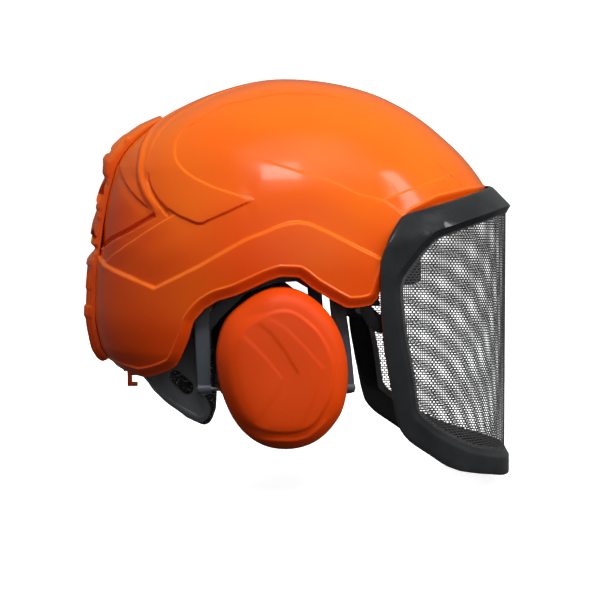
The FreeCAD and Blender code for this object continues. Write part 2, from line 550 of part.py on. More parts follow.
sh = scyl(D["knob_shaft_radius"], (-119, 0, -60), (-103.8, 0, -60))
feature("knob_shaft", sh)

# small strap hooks under the back rim
hk = []
for sy in (-1, 1):
    lo, hi = sorted((sy * 42.0, sy * 46.0))
    h = sbox((-118, lo, -82), (-114.5, hi, -64)).fuse(sbox((-118, lo, -82), (-110.5, hi, -79)))
    hk.append(h.removeSplitter())
feature("rear_hooks", Part.makeCompound(hk))

# ---------------------------------------------------------------- check and write
doc.recompute()
bad = []
for o in doc.Objects:
    if any(q in ("Invalid", "Error") for q in o.State):
        bad.append((o.Name, list(o.State)))
for o in OUT:
    s = o.Shape
    if s.isNull() or not s.isValid() or not s.Solids:
        bad.append((o.Label, "shape", s.isNull() or s.isValid()))
if bad:
    raise SystemExit("failed objects: %s" % bad)
for o in OUT:
    s = o.Shape
    b = s.BoundBox
    print("%-22s solids %2d faces %4d vol %9.0f  x %7.1f %7.1f  y %7.1f %7.1f  z %7.1f %7.1f" % (
        o.Label, len(s.Solids), len(s.Faces), s.Volume, b.XMin, b.XMax, b.YMin, b.YMax, b.ZMin, b.ZMax))
    s.exportStep("parts/" + o.Label + ".step")
print(len(OUT), "nodes")
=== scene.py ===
import json
import math

import bmesh
import bpy
import numpy as np
from mathutils import Matrix, Vector
from mathutils.geometry import delaunay_2d_cdt
from mathutils.kdtree import KDTree


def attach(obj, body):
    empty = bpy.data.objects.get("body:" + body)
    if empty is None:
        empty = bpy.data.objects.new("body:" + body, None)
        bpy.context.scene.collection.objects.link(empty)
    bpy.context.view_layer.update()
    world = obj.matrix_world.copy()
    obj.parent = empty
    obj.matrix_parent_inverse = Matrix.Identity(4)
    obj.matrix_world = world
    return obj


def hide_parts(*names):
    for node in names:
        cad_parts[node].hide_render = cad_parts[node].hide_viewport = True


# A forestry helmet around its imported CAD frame.  Lengths in this file are in
# millimetres until new_mesh() turns them into metres.
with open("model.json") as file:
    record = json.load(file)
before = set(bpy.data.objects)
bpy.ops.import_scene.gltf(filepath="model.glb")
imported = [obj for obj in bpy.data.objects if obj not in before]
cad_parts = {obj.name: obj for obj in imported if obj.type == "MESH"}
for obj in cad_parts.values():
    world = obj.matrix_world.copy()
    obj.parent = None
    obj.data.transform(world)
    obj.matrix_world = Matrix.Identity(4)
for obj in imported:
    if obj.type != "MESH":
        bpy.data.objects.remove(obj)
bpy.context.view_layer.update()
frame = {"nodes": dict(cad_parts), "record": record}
NODES = frame["nodes"]
SCENE = bpy.context.scene


# ================================================================ mesh helpers
def new_mesh(name, verts, faces, normals=None, angle=None, flat=False):
    """An object from points in millimetres."""
    me = bpy.data.meshes.new(name)
    v = np.asarray(verts, dtype=float) / 1000.0
    me.from_pydata(v.tolist(), [], [tuple(int(i) for i in f) for f in faces])
    me.update()
    if not flat:
        me.polygons.foreach_set("use_smooth", [True] * len(me.polygons))
        if angle is not None:
            me.set_sharp_from_angle(angle=math.radians(angle))
    if normals is not None:
        me.normals_split_custom_set_from_vertices(np.asarray(normals, dtype=float).tolist())
    ob = bpy.data.objects.new(name, me)
    SCENE.collection.objects.link(ob)
    return ob


def tidy(ob, dist=0.00001, recalc=True):
    bm = bmesh.new()
    bm.from_mesh(ob.data)
    bmesh.ops.remove_doubles(bm, verts=bm.verts, dist=dist)
    bmesh.ops.dissolve_degenerate(bm, dist=dist, edges=bm.edges)
    loose = [v for v in bm.verts if not v.link_faces]
    bmesh.ops.delete(bm, geom=loose, context="VERTS")
    if recalc:
        bmesh.ops.recalc_face_normals(bm, faces=bm.faces)
    bm.to_mesh(ob.data)
    bm.free()
    ob.data.update()
    return ob


def smooth(ob, angle=35.0):
    ob.data.polygons.foreach_set("use_smooth", [True] * len(ob.data.polygons))
    ob.data.set_sharp_from_angle(angle=math.radians(angle))
    return ob


def piece(ob, body, nodes=(), mat=None):
    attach(ob, body)
    if nodes:
        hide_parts(*nodes)
    if mat is not None:
        ob.data.materials.clear()
        ob.data.materials.append(mat)
    return ob


def mirrored(ob, name):
    """A copy of a right-side piece on the left side."""
    me = ob.data.copy()
    co = np.zeros(len(me.vertices) * 3)
    me.vertices.foreach_get("co", co)
    co = co.reshape(-1, 3)
    co[:, 1] *= -1
    me.vertices.foreach_set("co", co.ravel())
    me.flip_normals()
    me.update()
    me.name = name
    o = bpy.data.objects.new(name, me)
    SCENE.collection.objects.link(o)
    return o


def pchip(tab, x):
    """Shape-preserving interpolation of a table of pairs, for an array."""
    xs = np.array([p[0] for p in tab], float)
    ys = np.array([p[1] for p in tab], float)
    h = np.diff(xs)
    d = np.diff(ys) / h
    m = np.zeros(len(xs))
    m[0], m[-1] = d[0], d[-1]
    for i in range(1, len(xs) - 1):
        if d[i - 1] * d[i] > 0:
            w1, w2 = 2 * h[i] + h[i - 1], h[i] + 2 * h[i - 1]
            m[i] = (w1 + w2) / (w1 / d[i - 1] + w2 / d[i])
    x = np.clip(np.asarray(x, float), xs[0], xs[-1])
    i = np.clip(np.searchsorted(xs, x, side="right") - 1, 0, len(h) - 1)
    q = (x - xs[i]) / h[i]
    return ((2 * q ** 3 - 3 * q * q + 1) * ys[i] + (q ** 3 - 2 * q * q + q) * h[i] * m[i]
            + (-2 * q ** 3 + 3 * q * q) * ys[i + 1] + (q ** 3 - q * q) * h[i] * m[i + 1])


def sstep(x):
    x = np.clip(x, 0.0, 1.0)
    return x * x * (3 - 2 * x)


def resample(poly, step, closed=False):
    """Points along a polyline at an even spacing."""
    p = np.asarray(poly, float)
    if closed:
        p = np.vstack([p, p[:1]])
    seg = np.linalg.norm(np.diff(p, axis=0), axis=1)
    s = np.concatenate([[0], np.cumsum(seg)])
    n = max(2, int(round(s[-1] / step)))
    t = np.linspace(0, s[-1], n + 1)
    if closed:
        t = t[:-1]
    return np.stack([np.interp(t, s, p[:, k]) for k in range(p.shape[1])], axis=1)


def chaikin(poly, rounds=2, closed=True, keep=0.25):
    p = np.asarray(poly, float)
    for _ in range(rounds):
        q = np.roll(p, -1, axis=0)
        a = p * (1 - keep) + q * keep
        b = p * keep + q * (1 - keep)
        if closed:
            p = np.stack([a, b], axis=1).reshape(-1, p.shape[1])
        else:
            p = np.vstack([p[:1], np.stack([a[:-1], b[:-1]], axis=1).reshape(-1, p.shape[1]), p[-1:]])
    return p


def round_corners(poly, r, closed=True, steps=5):
    """A polygon with its corners cut to arcs of about r."""
    p = np.asarray(poly, float)
    n = len(p)
    out = []
    for i in range(n):
        if not closed and i in (0, n - 1):
            out.append(p[i])
            continue
        a, b, c = p[i - 1], p[i], p[(i + 1) % n]
        ua, uc = a - b, c - b
        la, lc = np.linalg.norm(ua), np.linalg.norm(uc)
        if la < 1e-9 or lc < 1e-9:
            continue
        ua, uc = ua / la, uc / lc
        cosang = float(np.clip(np.dot(ua, uc), -1, 1))
        ang = math.acos(cosang)
        if ang > math.radians(176):
            out.append(b)
            continue
        t = min(r / max(math.tan(ang / 2), 1e-6), 0.45 * la, 0.45 * lc)
        for k in range(steps + 1):
            q = k / steps
            out.append((1 - q) ** 2 * (b + ua * t) + 2 * q * (1 - q) * b + q * q * (b + uc * t))
    return np.array(out)


def area2(p):
    x, y = p[:, 0], p[:, 1]
    return 0.5 * float(np.sum(x * np.roll(y, -1) - np.roll(x, -1) * y))


def offset2(p, d):
    """A closed polygon (counter-clockwise) moved outwards by d along its vertex normals."""
    a = np.roll(p, 1, axis=0)
    b = np.roll(p, -1, axis=0)
    e1 = p - a
    e2 = b - p
    e1 /= np.maximum(np.linalg.norm(e1, axis=1, keepdims=True), 1e-9)
    e2 /= np.maximum(np.linalg.norm(e2, axis=1, keepdims=True), 1e-9)
    n1 = np.stack([e1[:, 1], -e1[:, 0]], axis=1)
    n2 = np.stack([e2[:, 1], -e2[:, 0]], axis=1)
    m = n1 + n2
    m /= np.maximum(np.linalg.norm(m, axis=1, keepdims=True), 1e-9)
    c = np.maximum(np.sum(m * n1, axis=1), 0.6)
    return p + m * (d / c)[:, None]


def fill2(loops, step):
    """Triangles over the region between closed loops (outer first, then holes), with inner points on a grid.
    Returns the points (the loops' own first, in order) and the triangles."""
    pts, edges, start = [], [], 0
    for lp in loops:
        n = len(lp)
        pts += [Vector(q) for q in lp]
        edges += [(start + i, start + (i + 1) % n) for i in range(n)]
        start += n
    outer = np.asarray(loops[0])
    if step:
        x0, y0 = outer.min(axis=0)
        x1, y1 = outer.max(axis=0)
        gx = np.arange(x0 + step / 2, x1, step)
        gy = np.arange(y0 + step / 2, y1, step)
        G = np.array([(a + (0.5 * step if j % 2 else 0), b) for j, b in enumerate(gy) for a in gx])
        ok = inside2(outer, G)
        near = np.full(len(G), 1e9)
        for lp in loops:
            near = np.minimum(near, dist2(np.asarray(lp), G))
        for h in loops[1:]:
            ok &= ~inside2(np.asarray(h), G)
        ok &= near > 0.45 * step
        pts += [Vector(q) for q in G[ok]]
    v, e, f, ov, oe, of_ = delaunay_2d_cdt(pts, edges, [], 2 if len(loops) > 1 else 1, 1e-5)
    V = np.array([tuple(q) for q in v])
    mid = np.array([V[list(t)].mean(axis=0) for t in f])
    ok = inside2(outer, mid)
    for h in loops[1:]:
        ok &= ~inside2(np.asarray(h), mid)
    tri = [list(t) for t, k in zip(f, ok) if k]
    return V, tri, ov


def inside2(poly, q):
    x, y = q[:, 0], q[:, 1]
    r = np.zeros(len(q), bool)
    a = poly
    b = np.roll(poly, -1, axis=0)
    for (x1, y1), (x2, y2) in zip(a, b):
        c = (y1 > y) != (y2 > y)
        xi = (x2 - x1) * (y - y1) / (y2 - y1 if y2 != y1 else 1e-12) + x1
        r ^= c & (x < xi)
    return r


def dist2(poly, q):
    a = poly
    b = np.roll(poly, -1, axis=0)
    best = np.full(len(q), 1e9)
    for p1, p2 in zip(a, b):
        d = p2 - p1
        L = float(np.dot(d, d)) or 1e-12
        t = np.clip(((q - p1) @ d) / L, 0, 1)
        best = np.minimum(best, np.linalg.norm(q - p1 - t[:, None] * d, axis=1))
    return best


def plate(name, outer, holes, prof_out, prof_hole, place, step=3.0, angle=35.0):
    """A flat plate with shaped edges, bent into place.
    outer and holes are closed loops in the plate's plane.  prof_out is a list of (outset, depth) from the face at
    depth w0 to the face at depth w1 along the outer edge, prof_hole the same along each hole (outset away from the
    hole's middle).  place(points, depth) turns plane points and their depths into points in space."""
    outer = np.asarray(outer, float)
    if area2(outer) < 0:
        outer = outer[::-1]
    hs = []
    for h in holes:
        h = np.asarray(h, float)
        hs.append(h if area2(h) > 0 else h[::-1])
    verts, faces = [], []

    def add(p2, w):
        base = len(verts)
        P = place(np.asarray(p2, float), np.full(len(p2), float(w)))
        verts.extend(P.tolist())
        return base

    def ring(loop, prof, hole):
        rows = []
        for out, w in prof:
            rows.append(add(offset2(loop, out), w))
        n = len(loop)
        for a, b in zip(rows[:-1], rows[1:]):
            for i in range(n):
                j = (i + 1) % n
                faces.append((a + i, a + j, b + j, b + i) if not hole else (a + j, a + i, b + i, b + j))

    ring(outer, prof_out, False)
    for h in hs:
        ring(h, prof_hole, True)
    for k, flip in ((0, True), (-1, False)):
        loops = [offset2(outer, prof_out[k][0])] + [offset2(h, prof_hole[k][0]) for h in hs]
        V, tri, ov = fill2(loops, step)
        b = add(V, prof_out[k][1])
        for t in tri:
            f = [b + i for i in t]
            faces.append(tuple(reversed(f)) if flip else tuple(f))
    ob = new_mesh(name, verts, faces)
    tidy(ob, 0.000004)
    return smooth(ob, angle)


def sweep(name, path, widths, thicks, side, ring_n=14, power=5.0, caps=True, angle=50.0):
    """A bar of rounded-rectangle section along a path.  side is the direction of each section's width."""
    P = np.asarray(path, float)
    n = len(P)
    T = np.gradient(P, axis=0)
    T /= np.linalg.norm(T, axis=1, keepdims=True)
    S = np.asarray(side, float)
    if S.ndim == 1:
        S = np.tile(S, (n, 1))
    S = S - np.sum(S * T, axis=1, keepdims=True) * T
    S /= np.linalg.norm(S, axis=1, keepdims=True)
    U = np.cross(T, S)
    widths = np.broadcast_to(widths, (n,))
    thicks = np.broadcast_to(thicks, (n,))
    verts, faces = [], []
    ang = np.linspace(0, 2 * math.pi, ring_n * 4, endpoint=False) + 1e-4
    c = np.sign(np.cos(ang)) * np.abs(np.cos(ang)) ** (2 / power)
    s = np.sign(np.sin(ang)) * np.abs(np.sin(ang)) ** (2 / power)
    m = len(ang)
    for i in range(n):
        for k in range(m):
            verts.append(P[i] + S[i] * c[k] * widths[i] / 2 + U[i] * s[k] * thicks[i] / 2)
    for i in range(n - 1):
        for k in range(m):
            j = (k + 1) % m
            faces.append((i * m + k, i * m + j, (i + 1) * m + j, (i + 1) * m + k))
    if caps:
        faces.append(tuple(range(m))[::-1])
        faces.append(tuple((n - 1) * m + k for k in range(m)))
    ob = new_mesh(name, verts, faces)
    tidy(ob)
    return smooth(ob, angle)


# ================================================================ materials
def mat_new(name):
    m = bpy.data.materials.new(name)
    m.use_nodes = True
    nt = m.node_tree
    bs = nt.nodes["Principled BSDF"]
    return m, nt, bs


def obj_coords(nt, scale=1.0):
    tc = nt.nodes.new("ShaderNodeTexCoord")
    mp = nt.nodes.new("ShaderNodeMapping")
    mp.inputs["Scale"].default_value = (scale, scale, scale)
    nt.links.new(tc.outputs["Object"], mp.inputs["Vector"])
    return mp.outputs["Vector"]


def noise(nt, vec, scale, detail=3.0, rough=0.5):
    n = nt.nodes.new("ShaderNodeTexNoise")
    n.inputs["Scale"].default_value = scale
    n.inputs["Detail"].default_value = detail
    n.inputs["Roughness"].default_value = rough
    nt.links.new(vec, n.inputs["Vector"])
    return n.outputs["Fac"]


def ramp(nt, fac, stops):
    r = nt.nodes.new("ShaderNodeValToRGB")
    els = r.color_ramp.elements
    while len(els) < len(stops):
        els.new(0.5)
    for e, (p, c) in zip(els, stops):
        e.position = p
        e.color = (c[0], c[1], c[2], 1) if isinstance(c, (tuple, list)) else (c, c, c, 1)
    nt.links.new(fac, r.inputs["Fac"])
    return r.outputs["Color"]


def bump(nt, bs, height, strength, dist, chain=None):
    b = nt.nodes.new("ShaderNodeBump")
    b.inputs["Strength"].default_value = strength
    b.inputs["Distance"].default_value = dist
    nt.links.new(height, b.inputs["Height"])
    if chain is not None:
        nt.links.new(chain, b.inputs["Normal"])
    nt.links.new(b.outputs["Normal"], bs.inputs["Normal"])
    return b.outputs["Normal"]


def mix_rgb(nt, fac, a, b):
    m = nt.nodes.new("ShaderNodeMix")
    m.data_type = "RGBA"
    for val, sock in ((fac, m.inputs["Factor"]), (a, m.inputs["A"]), (b, m.inputs["B"])):
        if hasattr(val, "links") or hasattr(val, "is_linked"):
            nt.links.new(val, sock)
        else:
            sock.default_value = val if not isinstance(val, (tuple, list)) else (*val, 1)
    return m.outputs["Result"]


def edge_wear_and_highlight(nt, lo, hi):
    """0 on flats and 1 on convex edges, which are lightened partly as wear and partly as a painted highlight."""
    g = nt.nodes.new("ShaderNodeNewGeometry")
    return ramp(nt, g.outputs["Pointiness"], [(lo, 0.0), (hi, 1.0)])


def gloss_plastic(name, base, painted_shade_col, rough=0.16, coat=0.6, spec=0.5, grain=0.004, painted_shade_pos=(0.35, 1.0), sub=0.0):
    """Moulded gloss plastic: slight colour drift, a painted shade that turns the colour redder and darker where the
    surface faces sideways or down, faint flow marks and fine haze scratches in the gloss.
    """
    m, nt, bs = mat_new(name)
    v = obj_coords(nt)
    big = noise(nt, v, 9.0, 2.0)
    # painted shade: the colour turns redder and darker where the normal points less upward, mixed with a random colour
    # drift
    geo = nt.nodes.new("ShaderNodeNewGeometry")
    sep = nt.nodes.new("ShaderNodeSeparateXYZ")
    nt.links.new(geo.outputs["Normal"], sep.inputs[0])
    up = nt.nodes.new("ShaderNodeMath")
    up.operation = "MULTIPLY_ADD"
    nt.links.new(sep.outputs["Z"], up.inputs[0])
    up.inputs[1].default_value = 0.75
    nt.links.new(big, up.inputs[2])
    col = mix_rgb(nt, ramp(nt, up.outputs[0], [(painted_shade_pos[0], 0.0), (painted_shade_pos[1], 1.0)]), painted_shade_col, base)
    nt.links.new(col, bs.inputs["Base Color"])
    fine = noise(nt, v, 900.0, 2.0)
    cloud = noise(nt, v, 30.0, 4.0, 0.6)
    r = nt.nodes.new("ShaderNodeMath")
    r.operation = "MULTIPLY_ADD"
    nt.links.new(cloud, r.inputs[0])
    r.inputs[1].default_value = 0.10
    r.inputs[2].default_value = rough - 0.05
    nt.links.new(r.outputs[0], bs.inputs["Roughness"])
    bs.inputs["Specular IOR Level"].default_value = spec
    bs.inputs["Coat Weight"].default_value = coat
    bs.inputs["Coat Roughness"].default_value = 0.06
    if sub:
        bs.inputs["Subsurface Weight"].default_value = sub
        bs.inputs["Subsurface Radius"].default_value = (0.004, 0.0012, 0.0004)
    if grain:
        bump(nt, bs, fine, 0.04, 0.0002)
    return m


def satin_plastic(name, base, light, rough=0.42, grain_scale=900.0, grain=0.25, spec=0.5, wear_and_highlight=True, coat=0.0):
    """Moulded satin plastic with a fine spark-eroded grain and lighter edges that are partly polished wear and partly
    a painted highlight.
    """
    m, nt, bs = mat_new(name)
    v = obj_coords(nt)
    drift = noise(nt, v, 25.0, 3.0)
    fac = ramp(nt, drift, [(0.3, 0.0), (0.75, 0.5)])
    col = mix_rgb(nt, fac, base, light)
    if wear_and_highlight:
        # painted highlight and wear: convex edges are mixed toward the lighter colour
        col = mix_rgb(nt, edge_wear_and_highlight(nt, 0.53, 0.60), col, light)
    nt.links.new(col, bs.inputs["Base Color"])
    g = noise(nt, v, grain_scale, 2.0, 0.6)
    rr = nt.nodes.new("ShaderNodeMath")
    rr.operation = "MULTIPLY_ADD"
    nt.links.new(drift, rr.inputs[0])
    rr.inputs[1].default_value = 0.14
    rr.inputs[2].default_value = rough - 0.07
    nt.links.new(rr.outputs[0], bs.inputs["Roughness"])
    bs.inputs["Specular IOR Level"].default_value = spec
    bs.inputs["Coat Weight"].default_value = coat
    bump(nt, bs, g, grain, 0.00025)
    return m


def metal(name, base=(0.62, 0.62, 0.63), rough=0.3):
    m, nt, bs = mat_new(name)
    v = obj_coords(nt)
    n1 = noise(nt, v, 160.0, 4.0)
    col = mix_rgb(nt, ramp(nt, n1, [(0.35, 0.0), (0.7, 1.0)]), tuple(c * 0.75 for c in base), base)
    nt.links.new(col, bs.inputs["Base Color"])
    bs.inputs["Metallic"].default_value = 1.0
    bs.inputs["Roughness"].default_value = rough
    w = nt.nodes.new("ShaderNodeTexWave")
    w.inputs["Scale"].default_value = 1200.0
    w.inputs["Distortion"].default_value = 1.0
    nt.links.new(v, w.inputs["Vector"])
    bump(nt, bs, w.outputs["Fac"], 0.08, 0.0001)
    return m


def knit(name, base, fleck, scale=480.0, rough=0.9, fleck_amount=0.62, sheen=0.4):
    """Spacer knit: small open cells with lighter threads between them."""
    m, nt, bs = mat_new(name)
    v = obj_coords(nt)
    vo = nt.nodes.new("ShaderNodeTexVoronoi")
    vo.feature = "DISTANCE_TO_EDGE"
    vo.inputs["Scale"].default_value = scale
    vo.inputs["Randomness"].default_value = 0.35
    nt.links.new(v, vo.inputs["Vector"])
    cell = ramp(nt, vo.outputs["Distance"], [(0.05, 1.0), (0.28, 0.0)])
    sp = noise(nt, v, scale * 1.7, 2.0)
    fl = ramp(nt, sp, [(fleck_amount, 0.0), (fleck_amount + 0.05, 1.0)])
    c1 = mix_rgb(nt, cell, tuple(c * 0.45 for c in base), base)
    col = mix_rgb(nt, fl, c1, fleck)
    nt.links.new(col, bs.inputs["Base Color"])
    bs.inputs["Roughness"].default_value = rough
    bs.inputs["Sheen Weight"].default_value = sheen
    bs.inputs["Specular IOR Level"].default_value = 0.25
    bump(nt, bs, cell, 0.8, 0.0006)
    return m


def leatherette(name, base, light):
    """Soft cushion skin with a fine creased grain."""
    m, nt, bs = mat_new(name)
    v = obj_coords(nt)
    vo = nt.nodes.new("ShaderNodeTexVoronoi")
    vo.feature = "DISTANCE_TO_EDGE"
    vo.inputs["Scale"].default_value = 420.0
    nt.links.new(v, vo.inputs["Vector"])
    cell = ramp(nt, vo.outputs["Distance"], [(0.0, 0.0), (0.22, 1.0)])
    d = noise(nt, v, 40.0, 3.0)
    col = mix_rgb(nt, ramp(nt, d, [(0.3, 0.0), (0.8, 1.0)]), base, light)
    nt.links.new(col, bs.inputs["Base Color"])
    bs.inputs["Roughness"].default_value = 0.5
    bump(nt, bs, cell, 0.35, 0.0004)
    return m


def foam(name, base):
    m, nt, bs = mat_new(name)
    v = obj_coords(nt)
    vo = nt.nodes.new("ShaderNodeTexVoronoi")
    vo.inputs["Scale"].default_value = 700.0
    nt.links.new(v, vo.inputs["Vector"])
    cell = ramp(nt, vo.outputs["Distance"], [(0.1, 0.0), (0.5, 1.0)])
    col = mix_rgb(nt, cell, tuple(c * 0.3 for c in base), base)
    nt.links.new(col, bs.inputs["Base Color"])
    bs.inputs["Roughness"].default_value = 0.95
    bump(nt, bs, cell, 0.9, 0.001)
    return m


ORANGE = (0.88, 0.150, 0.004)
# painted shade colour: the redder, darker orange put on the shell where its surface faces sideways or down
ORANGE_PAINTED_SHADE = (0.84, 0.066, 0.002)
M_SHELL = gloss_plastic("shell_gloss_orange", ORANGE, ORANGE_PAINTED_SHADE, rough=0.17, coat=0.25, spec=0.42)
M_CUP = satin_plastic("cup_satin_orange", (0.76, 0.058, 0.002), (0.81, 0.074, 0.003), rough=0.42, grain_scale=700.0, grain=0.12, spec=0.28, wear_and_highlight=False)
M_INNER = satin_plastic("liner_matt_black", (0.020, 0.020, 0.022), (0.040, 0.040, 0.043), rough=0.55)
M_STRAP = satin_plastic("strap_slate", (0.130, 0.137, 0.150), (0.230, 0.240, 0.260), rough=0.32, grain=0.10)
M_KNIT = knit("pad_spacer_knit", (0.022, 0.022, 0.024), (0.55, 0.55, 0.56))
M_CUSH = leatherette("cushion_skin", (0.012, 0.012, 0.013), (0.028, 0.028, 0.030))
M_FOAM = foam("open_foam", (0.12, 0.12, 0.13))
M_FRAME = satin_plastic("frame_satin_black", (0.009, 0.010, 0.011), (0.045, 0.048, 0.052), rough=0.22, grain_scale=800.0, grain=0.05, coat=0.5)
M_MESH = satin_plastic("mesh_coated_steel", (0.050, 0.050, 0.052), (0.110, 0.110, 0.113), rough=0.35, grain=0.05, wear_and_highlight=False)
M_RET = satin_plastic("retainer_satin_grey", (0.13, 0.13, 0.135), (0.21, 0.21, 0.215), rough=0.45)
M_YOKE = satin_plastic("yoke_slate", (0.055, 0.064, 0.078), (0.105, 0.118, 0.138), rough=0.28, grain=0.06)
M_STEEL = metal("zinc_steel")

BY_SLOT = {"shell_orange": M_SHELL, "liner_black": M_INNER, "strap_grey": M_STRAP, "pad_fabric": M_KNIT, "cushion_black": M_CUSH,
           "foam_grey": M_FOAM, "frame_black": M_FRAME, "mesh_black": M_MESH, "retainer_grey": M_RET, "yoke_slate": M_YOKE, "steel": M_STEEL}
for sp in frame["record"]["subparts"]:
    ob = NODES[sp["node"]]
    ob.data.materials.clear()
    ob.data.materials.append(BY_SLOT[sp["material_slot"]])
    smooth(ob, 28.0)

# ================================================================ outer shell
CROWN = 142.2
FRONT = [(-90, 150), (-40, 158), (0, 163), (30, 165), (56, 166.5), (84, 165.5), (100, 164), (122, 167), (137, 172), (142.2, 172)]
REAR = [(-90, 124), (-67, 131), (-54, 138.5), (-30, 142.5), (-12, 141.5), (8, 140), (22, 139.5), (36, 140.5), (52, 143), (67, 147),
        (78, 151), (91.7, 153.5), (108, 152.5), (119, 149), (128.8, 143), (136.8, 133), (142.2, 128)]
SIDE = [(-90, 108), (-70, 110), (-30, 112), (0, 112), (142.2, 112)]
RIM = [(153, 57), (130, 54.5), (104.5, 49), (83.9, 39.9), (73, 24.6), (64, 3.7), (60, -8), (57.5, -15.8), (53, -20.5), (45.3, -21.9),
       (35.2, -22.4), (25.3, -17.1), (10.6, -8.3), (0.8, -0.4), (-11.7, 0.1), (-19.4, -2.3), (-42.8, -13.1), (-56.6, -17.3), (-65.2, -23),
       (-72.8, -32), (-76.1, -44.4), (-82.7, -60.2), (-85.5, -64.9), (-92.4, -68.8), (-100.1, -72), (-108.5, -74.2), (-119, -72.2),
       (-128.3, -69.1), (-136.4, -64.7), (-142, -58)]
C0 = np.array([0.0, 0.0, -30.0])
ZT = np.linspace(-90, CROWN, 1200)
T_FRONT, T_REAR, T_SIDE = pchip(FRONT, ZT), pchip(REAR, ZT), pchip(SIDE, ZT)


def dome_dims(z, off=0.0):
    H = CROWN + off
    zz = np.where(z > 0, z * CROWN / H, z)
    c = np.sqrt(np.maximum(0.0, 1 - (np.maximum(z, 0.0) / H) ** 2))
    return ((np.interp(zz, ZT, T_FRONT) + off) * c, (np.interp(zz, ZT, T_REAR) + off) * c, (np.interp(zz, ZT, T_SIDE) + off) * c)


def dome_F(P, off=0.0):
    """Below 0 inside the dome."""
    a, b, w = dome_dims(P[:, 2], off)
    x = P[:, 0]
    front = x > 0
    r = np.where(front, a, b)
    n = np.where(front, 2.05, 2.3)
    good = (P[:, 2] < CROWN + off) & (r > 1e-6)
    r = np.maximum(r, 1e-6)
    w = np.maximum(w, 1e-6)
    v = (np.abs(x) / r) ** n + (np.abs(P[:, 1]) / w) ** n - 1
    return np.where(good, v, 1.0)


def dome_point(d, off=0.0, origin=C0):
    """Where rays from the origin along d leave the dome."""
    lo = np.full(len(d), 20.0)
    hi = np.full(len(d), 230.0)
    for _ in range(34):
        m = 0.5 * (lo + hi)
        out = dome_F(origin + d * m[:, None], off) > 0
        hi = np.where(out, m, hi)
        lo = np.where(out, lo, m)
    return origin + d * (0.5 * (lo + hi))[:, None]


def dome_normal(d, off=0.0):
    """Outward normals of the dome where rays along d leave it."""
    up = np.where(np.abs(d[:, 2:3]) < 0.9, np.array([[0.0, 0, 1]]), np.array([[1.0, 0, 0]]))
    u = np.cross(up, d)
    u /= np.linalg.norm(u, axis=1, keepdims=True)
    v = np.cross(d, u)
    e = 0.006
    a = dome_point(d + u * e, off) - dome_point(d - u * e, off)
    b = dome_point(d + v * e, off) - dome_point(d - v * e, off)
    n = np.cross(a, b)
    n /= np.linalg.norm(n, axis=1, keepdims=True)
    return n


def rim_z(x):
    r = sorted(RIM)
    return np.interp(x, [p[0] for p in r], [p[1] for p in r])


def dirs(th, ph):
    return np.stack([np.cos(th) * np.sin(ph), np.sin(th) * np.sin(ph), np.cos(ph)], axis=1)


# the polar angle at which each ray round C0 meets the rim
N_TH = 1441
TH = np.linspace(-math.pi, math.pi, N_TH)
lo, hi = np.full(N_TH, 0.9), np.full(N_TH, 2.15)
grid = np.linspace(0.7, 2.2, 260)
first = np.full(N_TH, 2.2)
for ph in grid[::-1]:
    P = dome_point(dirs(TH, np.full(N_TH, ph)))
    below = P[:, 2] < rim_z(P[:, 0])
    first = np.where(below, ph, first)
lo, hi = first - (grid[1] - grid[0]), first.copy()
for _ in range(16):
    m = 0.5 * (lo + hi)
    P = dome_point(dirs(TH, m))
    below = P[:, 2] < rim_z(P[:, 0])
    hi = np.where(below, m, hi)
    lo = np.where(below, lo, m)
PH_RIM = 0.5 * (lo + hi)
RIM3 = dome_point(dirs(TH, PH_RIM))


def ray_of(uv):
    """Directions from C0 for disc coordinates: the centre is the crown and the unit circle is the rim."""
    r = np.hypot(uv[:, 0], uv[:, 1])
    th = np.arctan2(uv[:, 1], uv[:, 0])
    ph = np.interp(th, TH, PH_RIM) * np.minimum(r, 1.0)
    return dirs(th, ph)


